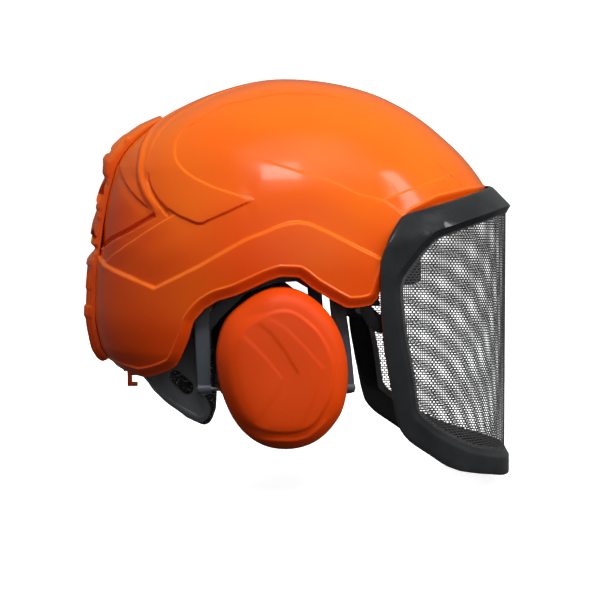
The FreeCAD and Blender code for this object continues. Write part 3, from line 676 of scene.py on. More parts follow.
# relief lines on the right side of the dome, as points in space
LINES = {
    "a": [(51.6, -45.9, 122.4), (38.1, -46.2, 125.7), (24.7, -45.4, 128.4), (4.3, -46.1, 129.5), (-9.5, -46.9, 128.9), (-22.7, -49.6, 126.2),
          (-34.3, -50.8, 123.6), (-45.1, -50.1, 121.5), (-56.7, -52.9, 115.9), (-66.9, -56.9, 109.0), (-74.1, -57.8, 104.6), (-79.2, -60.0, 99.9),
          (-82.1, -62.7, 95.6), (-83.6, -66.3, 90.9), (-84.0, -69.7, 86.6), (-83.4, -73.1, 82.2), (-81.6, -76.6, 78.2), (-78.8, -80.1, 74.6),
          (-75.0, -83.6, 71.1), (-70.4, -86.9, 68.0), (-64.4, -90.5, 64.9), (-57.9, -93.9, 61.7), (-42.2, -99.5, 56.3), (-29.5, -102.6, 52.7)],
    "b": [(-22.2, -19.7, 138.3), (-37.7, -21.8, 134.5), (-54.6, -25.9, 128.6), (-60.9, -30.0, 124.9), (-69.6, -32.8, 120.3), (-77.3, -33.8, 116.3),
          (-83.5, -35.9, 112.1), (-88.7, -39.6, 107.4), (-93.8, -43.5, 102.0), (-97.5, -48.5, 95.9), (-100.5, -54.0, 89.0), (-102.7, -58.7, 81.4),
          (-104.0, -61.7, 75.3), (-104.1, -64.8, 69.6), (-102.9, -68.5, 64.3), (-100.1, -72.9, 59.7), (-95.3, -79.3, 52.6), (-89.8, -84.9, 46.7),
          (-81.6, -90.9, 41.5), (-72.0, -96.3, 37.3), (-69.0, -97.6, 36.2), (-65.4, -98.8, 36.4), (-47.9, -102.0, 44.3), (-29.5, -102.6, 52.7)],
    "ridge": [(-62.0, -15.0, 128.0), (-71.3, -18.6, 123.0), (-82.0, -20.0, 117.0), (-92.0, -23.5, 110.0), (-98.5, -29.0, 103.8), (-102.8, -37.6, 97.2),
              (-106.2, -45.8, 89.4), (-107.6, -52.1, 82.6), (-108.5, -55.9, 76.8), (-108.7, -58.8, 71.8), (-107.8, -63.1, 65.4), (-105.7, -67.8, 59.7),
              (-101.6, -74.6, 51.9), (-96.8, -80.7, 44.9)],
    "groove": [(-103.1, -64.3, 72.5), (-102.9, -67.7, 66.0), (-100.8, -72.5, 59.3), (-97.4, -77.5, 53.3), (-93.3, -82.4, 47.4), (-89.9, -86.0, 42.5)],
    "mid": [(-35.2, -88.0, 84.2), (-16.6, -93.0, 78.5), (2.8, -96.5, 72.2), (19.6, -97.6, 68.0), (32.8, -98.6, 62.1), (45.5, -98.6, 56.1),
            (61.4, -96.1, 52.6), (68.5, -95.5, 48.1), (76.1, -94.5, 42.5), (84.0, -91.5, 36.5)],
    "v_low": [(62.9, -95.4, 53.5), (74.2, -90.4, 57.2), (87.4, -82.9, 61.8), (100.2, -73.8, 66.1), (114.5, -60.3, 70.8)],
    "v_up": [(114.5, -60.3, 70.8), (104.2, -62.0, 79.2), (94.8, -61.7, 87.4), (86.2, -60.4, 94.7), (83.9, -56.1, 100.1)],
    "ledge": [(-139.5, -22.0, 12.0), (-133.0, -43.0, 5.7), (-125.2, -59.5, 1.8), (-115.9, -71.8, -1.9), (-98.5, -87.3, -9.0), (-84.0, -95.6, -1.4),
              (-68.8, -101.8, 6.4), (-53.0, -105.9, 15.7), (-37.4, -107.9, 24.6), (-33.0, -108.3, 26.6), (-23.3, -108.6, 30.1), (-13.8, -108.4, 34.3),
              (-6.6, -108.2, 36.5), (0.4, -108.1, 37.4), (8.1, -108.2, 36.2), (19.9, -108.5, 31.1), (31.5, -108.3, 25.3), (43.8, -107.3, 18.9),
              (56.5, -105.2, 12.9), (66.0, -103.0, 8.0)],
    "slot": [(-137.0, -24.0, 18.5), (-131.5, -40.6, 23.0), (-122.8, -57.1, 28.0), (-114.3, -67.7, 32.8), (-105.9, -75.1, 38.0), (-98.2, -80.3, 42.4)],
    "lip": [(-133.0, -42.2, 8.9), (-122.2, -60.9, 17.7), (-111.5, -72.5, 25.1), (-100.3, -81.0, 33.0), (-90.6, -86.4, 39.3)],
    "panel": [(-123.0, -29.8, 76.5), (-121.6, -38.6, 71.3), (-119.5, -46.5, 66.2), (-116.6, -54.1, 61.1), (-113.0, -61.1, 56.4), (-110.0, -66.1, 52.9),
              (-106.8, -70.5, 50.1)],
}


def line_query(P, line):
    """Signed distance to a line on the dome (plus to the left when seen from outside), the distance, and the
    share of the line's length at the foot."""
    L = np.asarray(line, float)
    A, B = L[:-1], L[1:]
    D = B - A
    len2 = np.sum(D * D, axis=1)
    seglen = np.sqrt(len2)
    s0 = np.concatenate([[0], np.cumsum(seglen)])
    best = np.full(len(P), 1e9)
    key = np.full(len(P), 1e9)
    side = np.ones(len(P))
    along = np.zeros(len(P))
    for k in range(len(A)):
        rel = P - A[k]
        t = np.clip(rel @ D[k] / len2[k], 0, 1)
        foot = rel - t[:, None] * D[k]
        dist = np.linalg.norm(foot, axis=1)
        n = (A[k] + B[k]) / 2 - C0
        n = n / np.linalg.norm(n)
        left = np.cross(n, D[k] / seglen[k])
        perp = rel @ left
        kk = dist - 1e-3 * np.abs(perp)
        upd = kk < key
        key = np.where(upd, kk, key)
        best = np.where(upd, dist, best)
        side = np.where(upd, np.sign(perp), side)
        along = np.where(upd, (s0[k] + t * seglen[k]) / s0[-1], along)
    return best * side, best, along


def fade(d, length):
    """1 at the line, falling to 0 over length on both sides."""
    return sstep(1 - np.abs(d) / length)


def step_line(P, name, amps, width, reach_pos, reach_neg, side=1):
    """A step across a line: the surface on the plus side stands higher by the amplitude.  amps is a table of
    (share along, amplitude)."""
    d, dist, s = line_query(P, LINES[name])
    d = d * side
    amp = np.interp(s, [a[0] for a in amps], [a[1] for a in amps])
    up = sstep(d / width + 0.5)
    fall = np.where(d > 0, fade(d, reach_pos), fade(d, reach_neg))
    return amp * (np.where(d > 0, up * fall, up * 1.0) - 0.0) - 0.0


def relief(P):
    """How far the outer surface stands off the plain dome, at points P on the dome."""
    P = P.copy()
    P[:, 1] = -np.abs(P[:, 1])
    h = np.zeros(len(P))
    # large front panel and the hook-shaped band behind it
    d, dist, s = line_query(P, LINES["a"])
    amp = np.interp(s, [0, 0.08, 0.45, 0.62, 0.75, 0.97, 1.0], [0.0, 0.8, 0.7, 0.8, 1.0, 0.9, 0.0])
    inner = sstep(0.5 - d / 2.0)
    h += amp * (inner - 0.5) * fade(d, 30.0)
    d, dist, s = line_query(P, LINES["b"])
    amp = np.interp(s, [0, 0.06, 0.35, 0.5, 0.62, 0.8, 0.97, 1.0], [0.2, 0.6, 0.9, 0.2, -0.9, -1.4, -1.1, 0.0])
    inner = sstep(0.5 - d / 2.2)
    h += amp * (inner - 0.5) * np.where(d < 0, fade(d, 26.0), fade(d, 22.0))
    # rounded ridge outside the band and the groove between them
    d, dist, s = line_query(P, LINES["ridge"])
    h += np.interp(s, [0, 0.25, 0.9, 1.0], [0.0, 1.1, 1.4, 0.3]) * sstep(1 - dist / 4.6)
    d, dist, s = line_query(P, LINES["groove"])
    h -= np.interp(s, [0, 0.2, 0.9, 1.0], [0.0, 1.6, 1.8, 0.6]) * sstep(1 - dist / 2.1)
    # crease under the front panel, and the panel's pointed lower corner
    d, dist, s = line_query(P, LINES["mid"])
    amp = np.interp(s, [0, 0.25, 0.6, 1.0], [0.0, 0.55, 1.1, 1.2])
    below = sstep(0.5 - d / 2.0)
    h += amp * (below - 0.5) * fade(d, 26.0)
    d, dist, s = line_query(P, LINES["v_low"])
    amp = np.interp(s, [0, 0.15, 1.0], [0.2, 0.7, 0.6])
    below = sstep(0.5 - d / 1.8)
    h += amp * (below - 0.5) * fade(d, 18.0)
    d, dist, s = line_query(P, LINES["v_up"])
    amp = np.interp(s, [0, 0.3, 1.0], [0.6, 0.35, 0.0])
    h += amp * (sstep(0.5 - d / 1.8) - 0.5) * fade(d, 18.0)
    # long ledge over the muff and down to the back
    d, dist, s = line_query(P, LINES["ledge"])
    below = sstep(0.5 - d / 3.4)
    h += 2.1 * (below - 0.5) * np.where(d < 0, fade(d, 60.0), fade(d, 24.0)) + 0.25 * fade(d, 40.0)
    # vent recess behind the ridge, with its slit and lips
    d, dist, s = line_query(P, LINES["slot"])
    h -= np.interp(s, [0, 0.1, 0.93, 1.0], [3.0, 4.6, 4.6, 0.0]) * sstep(1.0 - (dist - 1.0) / 1.4)
    h -= 1.2 * sstep(d / 1.5) * fade(d, 30.0) * np.interp(s, [0, 0.9, 1.0], [1.0, 1.0, 0.0]) * (d > 0)
    d, dist, s = line_query(P, LINES["lip"])
    h += 0.9 * (sstep(0.5 - d / 1.6) - 0.5) * fade(d, 12.0)
    d, dist, s = line_query(P, LINES["panel"])
    h += -1.0 * (sstep(0.5 - d / 1.2) - 0.5) * fade(d, 9.0)
    # rolled band along the rim
    d, dist, s = line_query(P, RIM_HALF)
    band = sstep((8.2 - dist) / 1.5)
    h += 0.75 * band * sstep(dist / 7.0) - 2.3 * sstep(1 - dist / 7.4)
    return h


RIM_HALF = RIM3[(TH <= 0)][::6]
RIM_HALF = np.stack([RIM_HALF[:, 0], -np.abs(RIM_HALF[:, 1]), RIM_HALF[:, 2]], axis=1)


def relief_near(P):
    """Distance to the nearest relief line, for choosing where the mesh is fine."""
    P = P.copy()
    P[:, 1] = -np.abs(P[:, 1])
    best = np.full(len(P), 1e9)
    for name, l in LINES.items():
        wid = {"ledge": 2.6, "ridge": 3.5, "slot": 3.5}.get(name, 1.6)
        _, dist, _ = line_query(P, l)
        best = np.minimum(best, np.maximum(dist - wid, 0))
    _, dist, _ = line_query(P, RIM_HALF)
    best = np.minimum(best, np.maximum(np.abs(dist - 7.4) - 1.3, 0))
    return best


def disc_grid(rings):
    uv = [(0.0, 0.0)]
    start = [0]
    for k in range(1, rings + 1):
        start.append(len(uv))
        n = 6 * k
        for i in range(n):
            a = 2 * math.pi * (i + 0.5) / n - math.pi
            uv.append((k / rings * math.cos(a), k / rings * math.sin(a)))
    tri = []
    for k in range(1, rings + 1):
        n, m = 6 * k, 6 * (k - 1)
        s1, s0 = start[k], start[k - 1]
        if k == 1:
            for i in range(6):
                tri.append((0, s1 + i, s1 + (i + 1) % 6))
            continue
        i = j = 0
        ao = [(q + 0.5) / n for q in range(n + 1)]
        ai = [(q + 0.5) / m for q in range(m + 1)]
        while i < n or j < m:
            if j >= m or (i < n and ao[i + 1 if i + 1 <= n else n] - ao[0] <= ai[min(j + 1, m)] - ai[0] + 1e-9):
                tri.append((s1 + i % n, s1 + (i + 1) % n, s0 + j % m))
                i += 1
            else:
                tri.append((s0 + j % m, s1 + i % n, s0 + (j + 1) % m))
                j += 1
    return np.array(uv), np.array(tri)


def split_edges(uv, tri, P, want, proj):
    """Splits every edge longer than its wanted length, keeping the mesh whole."""
    e = np.concatenate([tri[:, [0, 1]], tri[:, [1, 2]], tri[:, [2, 0]]])
    e.sort(axis=1)
    uniq, inv = np.unique(e, axis=0, return_inverse=True)
    inv = inv.ravel()
    length = np.linalg.norm(P[uniq[:, 0]] - P[uniq[:, 1]], axis=1)
    w = want(0.5 * (P[uniq[:, 0]] + P[uniq[:, 1]]))
    mark = length > w
    if not mark.any():
        return uv, tri, P, False
    mid = np.full(len(uniq), -1)
    mid[mark] = len(uv) + np.arange(mark.sum())
    a, b = uv[uniq[mark, 0]], uv[uniq[mark, 1]]
    m = 0.5 * (a + b)
    ra, rb = np.hypot(a[:, 0], a[:, 1]), np.hypot(b[:, 0], b[:, 1])
    on = (ra > 1 - 1e-7) & (rb > 1 - 1e-7)
    rm = np.maximum(np.hypot(m[:, 0], m[:, 1]), 1e-9)
    m[on] = m[on] / rm[on][:, None]
    uv = np.vstack([uv, m])
    P = np.vstack([P, proj(m)])
    T = len(tri)
    e0, e1, e2 = mid[inv[:T]], mid[inv[T:2 * T]], mid[inv[2 * T:]]
    out = []
    v0, v1, v2 = tri[:, 0], tri[:, 1], tri[:, 2]
    code = (e0 >= 0) * 1 + (e1 >= 0) * 2 + (e2 >= 0) * 4

    def add(sel, *cols):
        out.append(np.stack([c[sel] for c in cols], axis=1))

    s = code == 0
    add(s, v0, v1, v2)
    for c, (p, q, r, ea) in {1: (v0, v1, v2, e0), 2: (v1, v2, v0, e1), 4: (v2, v0, v1, e2)}.items():
        s = code == c
        add(s, p, ea, r)
        add(s, ea, q, r)
    for c, (p, q, r, ea, eb) in {3: (v0, v1, v2, e0, e1), 6: (v1, v2, v0, e1, e2), 5: (v2, v0, v1, e2, e0)}.items():
        s = code == c
        add(s, ea, q, eb)
        add(s, p, ea, r)
        add(s, ea, eb, r)
    s = code == 7
    add(s, v0, e0, e2)
    add(s, e0, v1, e1)
    add(s, e2, e1, v2)
    add(s, e0, e1, e2)
    return uv, np.vstack(out), P, True


def build_shell():
    uv, tri = disc_grid(40)
    proj = lambda q: dome_point(ray_of(q))
    P = proj(uv)
    fine = 0.95
    for _ in range(6):
        def want(Q):
            n = relief_near(Q)
            return np.clip(fine + n * 0.55, fine, 7.0)
        uv, tri, P, more = split_edges(uv, tri, P, want, proj)
        if not more:
            break
    # relief, and normals by finite differences on the raised surface
    d = ray_of(uv)
    N = dome_normal(d)
    up = np.where(np.abs(d[:, 2:3]) < 0.9, np.array([[0.0, 0, 1]]), np.array([[1.0, 0, 0]]))
    u = np.cross(up, d)
    u /= np.linalg.norm(u, axis=1, keepdims=True)
    v = np.cross(d, u)

    def raised(dd, nn):
        Q = dome_point(dd)
        return Q + nn * relief(Q)[:, None]
    e = 0.0028
    Q = raised(d, N)
    ru = raised(d + u * e, N) - raised(d - u * e, N)
    rv = raised(d + v * e, N) - raised(d - v * e, N)
    M = np.cross(ru, rv)
    M /= np.linalg.norm(M, axis=1, keepdims=True)
    # inner surface, coarser, and the rolled edge that joins them
    uv2, tri2 = disc_grid(26)
    P2 = dome_point(ray_of(uv2), -3.0)
    # move the rim of the inner surface onto the rim cut
    edge_out = np.where(np.hypot(uv[:, 0], uv[:, 1]) > 1 - 1e-7)[0]
    ang = np.arctan2(uv[edge_out, 1], uv[edge_out, 0])
    edge_out = edge_out[np.argsort(ang)]
    ang = np.sort(ang)
    de = ray_of(uv[edge_out])
    inner_edge = dome_point(de, -3.0)
    outer_edge = Q[edge_out]
    ne = len(edge_out)
    # inner surface rebuilt so that its outer ring matches the outer ring's vertices
    keep = np.hypot(uv2[:, 0], uv2[:, 1]) < 1 - 1e-7
    pts = [Vector(p) for p in uv2[keep]] + [Vector((math.cos(a), math.sin(a))) for a in ang]
    k0 = int(keep.sum())
    edges = [(k0 + i, k0 + (i + 1) % ne) for i in range(ne)]
    vv, ee, ff, ov, oe, of_ = delaunay_2d_cdt(pts, edges, [], 1, 1e-9)
    W = np.array([tuple(q) for q in vv])
    T2 = np.array([list(t) for t in ff if len(t) == 3])
    P2 = dome_point(ray_of(W), -3.0)
    nQ = len(Q)
    verts = np.vstack([Q, P2])
    # outward facing outer triangles
    c = np.cross(Q[tri[:, 1]] - Q[tri[:, 0]], Q[tri[:, 2]] - Q[tri[:, 0]])
    mid = Q[tri].mean(axis=1) - C0
    flip = np.sum(c * mid, axis=1) < 0
    tri[flip] = tri[flip][:, ::-1]
    c = np.cross(P2[T2[:, 1]] - P2[T2[:, 0]], P2[T2[:, 2]] - P2[T2[:, 0]])
    mid = P2[T2].mean(axis=1) - C0
    flip = np.sum(c * mid, axis=1) > 0
    T2[flip] = T2[flip][:, ::-1]
    # ring of the inner surface, found by angle
    rr = np.hypot(W[:, 0], W[:, 1])
    ring2 = np.where(rr > 1 - 1e-6)[0]
    ring2 = ring2[np.argsort(np.arctan2(W[ring2, 1], W[ring2, 0]))]
    lower = 0.5 * (outer_edge + P2[ring2])
    down = np.array([0, 0, -0.35])
    base = len(verts)
    verts = np.vstack([verts, lower + down])
    faces = [tuple(t) for t in tri] + [tuple(t + nQ) for t in T2]
    for i in range(ne):
        j = (i + 1) % ne
        a0, a1 = edge_out[i], edge_out[j]
        b0, b1 = base + i, base + j
        c0, c1 = nQ + ring2[i], nQ + ring2[j]
        faces.append((a0, b0, b1, a1))
        faces.append((b0, c0, c1, b1))
    ob = new_mesh("shell_outer", verts, faces)
    bm = bmesh.new()
    bm.from_mesh(ob.data)
    bmesh.ops.recalc_face_normals(bm, faces=bm.faces)
    bm.to_mesh(ob.data)
    bm.free()
    ob.data.polygons.foreach_set("use_smooth", [True] * len(ob.data.polygons))
    N2 = -dome_normal(ray_of(W), -3.0)
    rimn = np.tile(np.array([0, 0, -1.0]), (ne, 1))
    ob.data.normals_split_custom_set_from_vertices(np.vstack([M, N2, rimn]).tolist())
    return ob


shell = build_shell()
piece(shell, "helmet", ("outer_shell",), M_SHELL)

# ================================================================ rear vent cover
def build_cover():
    zs = np.concatenate([np.arange(-64, 100, 0.9), np.linspace(100, 113, 16)])
    ys = np.linspace(-21, 21, 61)
    proud_tab = [(-64, 5.6), (-60.6, 6.8), (-53.8, 6.9), (-46, 6.6), (-34, 6.6), (-32.8, 7.6), (-26, 7.4), (-25, 6.2), (-14, 6.4), (-12.8, 7.2), (2, 7.0),
                 (8, 6.9), (11, 5.6), (15.4, 2.6), (17.6, 2.8), (19.5, 6.4), (24, 6.6), (36, 6.4), (44, 5.4), (46, 6.6), (52, 6.2), (62, 5.4), (68, 4.4),
                 (70.5, 6.8), (78.3, 9.4), (84, 8.8), (95, 7.6), (104, 5.8), (113, 2.2)]
    outer, inner = [], []
    # the middle line of the dome at the back, by height
    ph = np.linspace(0.05, 2.2, 900)
    Pm = dome_point(dirs(np.full(900, math.pi), ph))
    order = np.argsort(Pm[:, 2])
    phz = np.interp(zs, Pm[order, 2], ph[order])
    for y in ys:
        O = np.tile(C0 + np.array([0, y, 0]), (len(zs), 1))
        d = dirs(np.full(len(zs), math.pi), phz)
        P = dome_point(d, 0.0, O)
        N = dome_normal(d)
        a = abs(y)
        top = zs > 6
        roof = np.interp(a, [0, 7.5, 8.5, 17, 20, 21], [1.0, 1.0, 0.93, 0.72, 0.55, 0.32])
        ribs = np.interp(a, [0, 6.0, 6.8, 7.6, 11.5, 12.2, 16.4, 17.2, 20, 21], [1.0, 1.0, 0.80, 0.80, 0.90, 0.72, 0.80, 0.58, 0.55, 0.3])
        sec = np.where(top, roof, ribs)
        mixz = sstep((zs + 4) / 10.0)
        sec = ribs * (1 - mixz) + roof * mixz
        h = np.interp(zs, [p[0] for p in proud_tab], [p[1] for p in proud_tab]) * sec
        # chevron plates: each overlaps the next with a small step
        ph_ = np.mod(zs + 0.95 * a - 4.0, 27.0) / 27.0
        chev = np.interp(ph_, [0, 0.04, 0.94, 1.0], [1.5, 1.5, -0.5, 1.5])
        h += np.where((zs > 4) & (zs < 96), chev, 0.0) * np.interp(a, [0, 19, 21], [0.7, 1.0, 0.2])
        # open chevron windows
        for (zc, yc, hz, hy, dep) in ((56.0, 12.0, 11.0, 6.8, 6.4), (25.0, 11.5, 6.0, 8.0, 5.0), (84.0, 0.0, 4.5, 11.0, 3.0)):
            m = np.abs(zs - zc) / hz + abs(a - yc) / hy
            h -= dep * sstep((1.08 - m) / 0.25)
        h = np.maximum(h, 0.45)
        outer.append(P + N * h[:, None])
        inner.append(P + N * 0.3)
    A, B = np.array(outer), np.array(inner)
    nu, nv = A.shape[:2]
    verts = np.vstack([A.reshape(-1, 3), B.reshape(-1, 3)])
    faces = []
    off = nu * nv
    for i in range(nu - 1):
        for j in range(nv - 1):
            a, b, c, d = i * nv + j, (i + 1) * nv + j, (i + 1) * nv + j + 1, i * nv + j + 1
            faces.append((a, b, c, d))
            faces.append((off + d, off + c, off + b, off + a))
    for i in range(nu - 1):
        for j in (0, nv - 1):
            a, b = i * nv + j, (i + 1) * nv + j
            f = (a, off + a, off + b, b)
            faces.append(f if j == 0 else f[::-1])
    for j in range(nv - 1):
        for i in (0, nu - 1):
            a, b = i * nv + j, i * nv + j + 1
            f = (a, b, off + b, off + a)
            faces.append(f if i == 0 else f[::-1])
    ob = new_mesh("vent_cover", verts, faces)
    tidy(ob, 0.00001)
    return smooth(ob, 24.0)


piece(build_cover(), "helmet", ("rear_vent_cover",), M_SHELL)


# ================================================================ visor
VC, VR, VH, VN = 20.0, 148.0, 111.5, 2.3
_t = np.linspace(0, math.pi / 2, 6001)
_x = VC + VR * np.cos(_t) ** (2 / VN)
_y = VH * np.sin(_t) ** (2 / VN)
_s = np.concatenate([[0], np.cumsum(np.hypot(np.diff(_x), np.diff(_y)))])
_nx = np.gradient(_y, _s + np.arange(len(_s)) * 1e-9)
_ny = -np.gradient(_x, _s + np.arange(len(_s)) * 1e-9)
_l = np.hypot(_nx, _ny)
_nx, _ny = _nx / _l, _ny / _l


def visor_at(s):
    """Point and outward normal (in plan) at signed arc length s; positive s is the right side."""
    a = np.abs(s)
    sg = np.where(s >= 0, -1.0, 1.0)
    return (np.interp(a, _s, _x), sg * np.interp(a, _s, _y), np.interp(a, _s, _nx), sg * np.interp(a, _s, _ny))


def s_of_x(x):
    return np.interp(-np.asarray(x, float), -_x, _s)


def bar_low(x):
    return 49.5 - (169.7 - x) * 0.262


def to_s(poly):
    """Side outline (x, z) of the right side to (arc length, height), with enough points to follow the bend."""
    p = resample(poly, 0.8)
    return np.stack([s_of_x(p[:, 0]), p[:, 1]], axis=1)


def both_sides(right):
    """Closes a right-side outline that starts and ends on the middle plane."""
    left = right[::-1].copy()
    left[:, 0] *= -1
    return np.vstack([right, left[1:-1]])


def visor_place(p, w):
    x, y, nx, ny = visor_at(p[:, 0])
    z = p[:, 1].copy()
    v = np.maximum(z - bar_low(x), 0.0)
    L = np.interp(np.abs(p[:, 0]), [0, 60, 150, 230], [13.2, 12.6, 7.6, 6.4])
    lean = v / 16.6 * L
    # the crease at the foot of the leaning bar is slightly rounded
    lean = np.where(v < 2.0, lean * v / 2.0, lean)
    z = z - np.where(v > 0, 0.262 * lean * np.abs(nx), 0.0)
    d = lean + w
    return np.stack([x - nx * d, y - ny * d, z + np.where(v > 0, w * 0.35, 0.0)], axis=1)


LOW = [(168, -151.2), (158, -149.6), (146.1, -146.5), (133, -143.9), (119.8, -141.0), (107.5, -136.0), (94.1, -126.8), (86, -121.6), (78.6, -116.2), (73.2, -109.3),
       (69.9, -97.5), (65.1, -73.4), (61.2, -52.3), (59.2, -31.2), (58.4, -15.8), (58.2, 9.4), (61, 18), (66, 27.0), (71.7, 35.0), (77, 41.2)]
OUT_R = np.vstack([to_s(LOW), to_s([(77, 41.2), (80.5, 42.8)] + [(x, bar_low(x) + 16.6) for x in (90, 110, 130, 150, 168)])])
HOLE_R = to_s([(168, 43.0), (155.6, 42.6), (128, 34.6), (101.7, 26.6), (90.6, 17.5), (75.2, -1.3), (72.8, -10.4), (76.2, -38.5), (82.6, -70.4), (86.4, -97.4),
               (101.0, -109.3), (120, -119.8), (132.2, -125), (153.8, -130.5), (168, -132)])
f_out = resample(round_corners(resample(both_sides(OUT_R), 6.0, True), 5.0), 2.2, True)
f_hole = resample(round_corners(resample(both_sides(HOLE_R), 5.0, True), 7.0), 2.2, True)
vframe = plate("visor_surround", f_out, [f_hole],
               [(-1.3, 0.0), (-0.45, 0.25), (0.0, 0.95), (0.0, 2.3), (-0.3, 2.95), (-1.0, 3.2)],
               [(5.6, 0.0), (4.9, 0.15), (4.3, 0.55), (1.0, 2.45), (0.2, 2.75), (0.0, 3.0), (0.3, 3.2)], visor_place, 3.4, 30.0)
piece(vframe, "visor", ("visor_frame",), M_FRAME)


def build_lattice():
    """Etched mesh: level wires with staggered ties, bent round the visor."""
    poly = both_sides(to_s([(168, 46.0), (160, 45.4), (101, 29.6), (88, 19.5), (72.8, -1), (70.4, -11), (74.4, -27.5), (74.6, -42), (80.4, -71.5), (83.6, -99),
                            (100, -112), (119, -122.6), (131.5, -128), (153.4, -133.4), (168, -135)]))
    verts, faces = [], []
    pitch, tie, dep = 1.88, 3.1, 3.62
    hh, ht, tw = 0.35, 0.15, 0.36
    zs = np.arange(-134.2, 45.5, pitch)
    sgrid = np.arange(-232, 232.01, 0.5)
    runs = []
    for z in zs:
        ok = inside2(poly, np.stack([sgrid, np.full(len(sgrid), z)], axis=1))
        r = []
        i = 0
        while i < len(ok):
            if ok[i]:
                j = i
                while j + 1 < len(ok) and ok[j + 1]:
                    j += 1
                if j - i > 4:
                    r.append((sgrid[i], sgrid[j]))
                i = j + 1
            else:
                i += 1
        runs.append(r)

    def at(s, z, w):
        x, y, nx, ny = visor_at(s)
        return np.stack([x - nx * w, y - ny * w, np.broadcast_to(z, x.shape)], axis=1)

    for z, r in zip(zs, runs):
        for s0, s1 in r:
            n = max(2, int((s1 - s0) / 4.2))
            s = np.linspace(s0, s1, n + 1)
            b = len(verts)
            q = [at(s, z - hh, dep - ht), at(s, z + hh, dep - ht), at(s, z + hh, dep + ht), at(s, z - hh, dep + ht)]
            Q = np.stack(q, axis=1).reshape(-1, 3)
            verts.extend(Q.tolist())
            for i in range(n):
                for k in range(4):
                    kk = (k + 1) % 4
                    faces.append((b + 4 * i + k, b + 4 * (i + 1) + k, b + 4 * (i + 1) + kk, b + 4 * i + kk))
            faces.append((b + 3, b + 2, b + 1, b))
            e = b + 4 * n
            faces.append((e, e + 1, e + 2, e + 3))
    for j in range(len(zs) - 1):
        k0 = 0.5 * tie if j % 2 else 0.0
        s = np.arange(-230, 230, tie) + k0
        ok = np.zeros(len(s), bool)
        for (a, b_) in runs[j]:
            for (c, d_) in runs[j + 1]:
                ok |= (s > max(a, c) + 0.4) & (s < min(b_, d_) - 0.4)
        s = s[ok]
        if not len(s):
            continue
        z0, z1 = zs[j] + hh * 0.5, zs[j + 1] - hh * 0.5
        b = len(verts)
        Q = np.stack([at(s - tw, z0, dep - 0.13), at(s + tw, z0, dep - 0.13), at(s + tw, z0, dep + 0.13), at(s - tw, z0, dep + 0.13),
                      at(s - tw, z1, dep - 0.13), at(s + tw, z1, dep - 0.13), at(s + tw, z1, dep + 0.13), at(s - tw, z1, dep + 0.13)], axis=1).reshape(-1, 3)
        verts.extend(Q.tolist())
        for i in range(len(s)):
            o = b + 8 * i
            for k in range(4):
                kk = (k + 1) % 4
                faces.append((o + k, o + kk, o + 4 + kk, o + 4 + k))
    me = bpy.data.meshes.new("visor_lattice")
    me.from_pydata((np.array(verts) / 1000.0).tolist(), [], faces)
    me.update()
    ob = bpy.data.objects.new("visor_lattice", me)
    SCENE.collection.objects.link(ob)
    return ob


piece(build_lattice(), "visor", ("visor_mesh",), M_MESH)

ret_out = resample(round_corners(resample(both_sides(to_s([(168, 45.4), (160, 44.8), (101.5, 28.9), (88.6, 19.0), (73.4, -1), (71.0, -11), (74.9, -39), (81.0, -71), (84.2, -98.4),
          (100.4, -111.4), (119.4, -122), (131.8, -127.4), (153.6, -132.8), (168, -134.4)])), 5.0, True), 6.0), 2.6, True)
ret_in = resample(round_corners(resample(both_sides(to_s([(168, 41.2), (155.6, 40.8), (103.2, 25.4), (93.0, 16.6), (78.0, -2.3), (75.8, -10), (78.6, -38), (85.0, -70), (88.6, -96.2),
          (102.9, -107.5), (120.8, -117.8), (132.6, -122.9), (153.9, -128.4), (168, -129.8)])), 5.0, True), 6.0), 2.6, True)
retainer = plate("mesh_clamp_strip", ret_out, [ret_in], [(-0.3, 4.35), (0.0, 4.6), (0.0, 5.4), (-0.4, 5.7)], [(0.5, 4.35), (0.0, 4.7), (0.0, 5.4), (0.4, 5.7)],
                 visor_place, 4.0, 35.0)
piece(retainer, "visor", ("mesh_retainer",), M_RET)


def flat_y(y0, sy):
    """Places a plate that stands upright along the helmet; depth goes outwards from y0."""
    return lambda p, w: np.stack([p[:, 0], sy * (y0 + w), p[:, 1]], axis=1)


ARM = [(6.4, 25.6), (8.6, 21.2), (14, 16.5), (22, 13), (30, 8), (37, 0), (42, -10), (44.5, -20), (47, -29), (51, -36), (58, -41.2), (72, -41.2),
       (73.2, -38), (73.2, -29), (69, -28.2), (59.5, -28), (53.2, -22), (50.2, -12), (47.8, 2), (43.8, 12), (37.2, 20.2), (29, 26), (24.2, 31), (20.6, 36.2),
       (15, 38), (9.4, 36.2), (6.2, 31)]


def circle(cx, cz, r, n=28):
    return np.array([(cx + r * math.cos(2 * math.pi * k / n), cz + r * math.sin(2 * math.pi * k / n)) for k in range(n)])


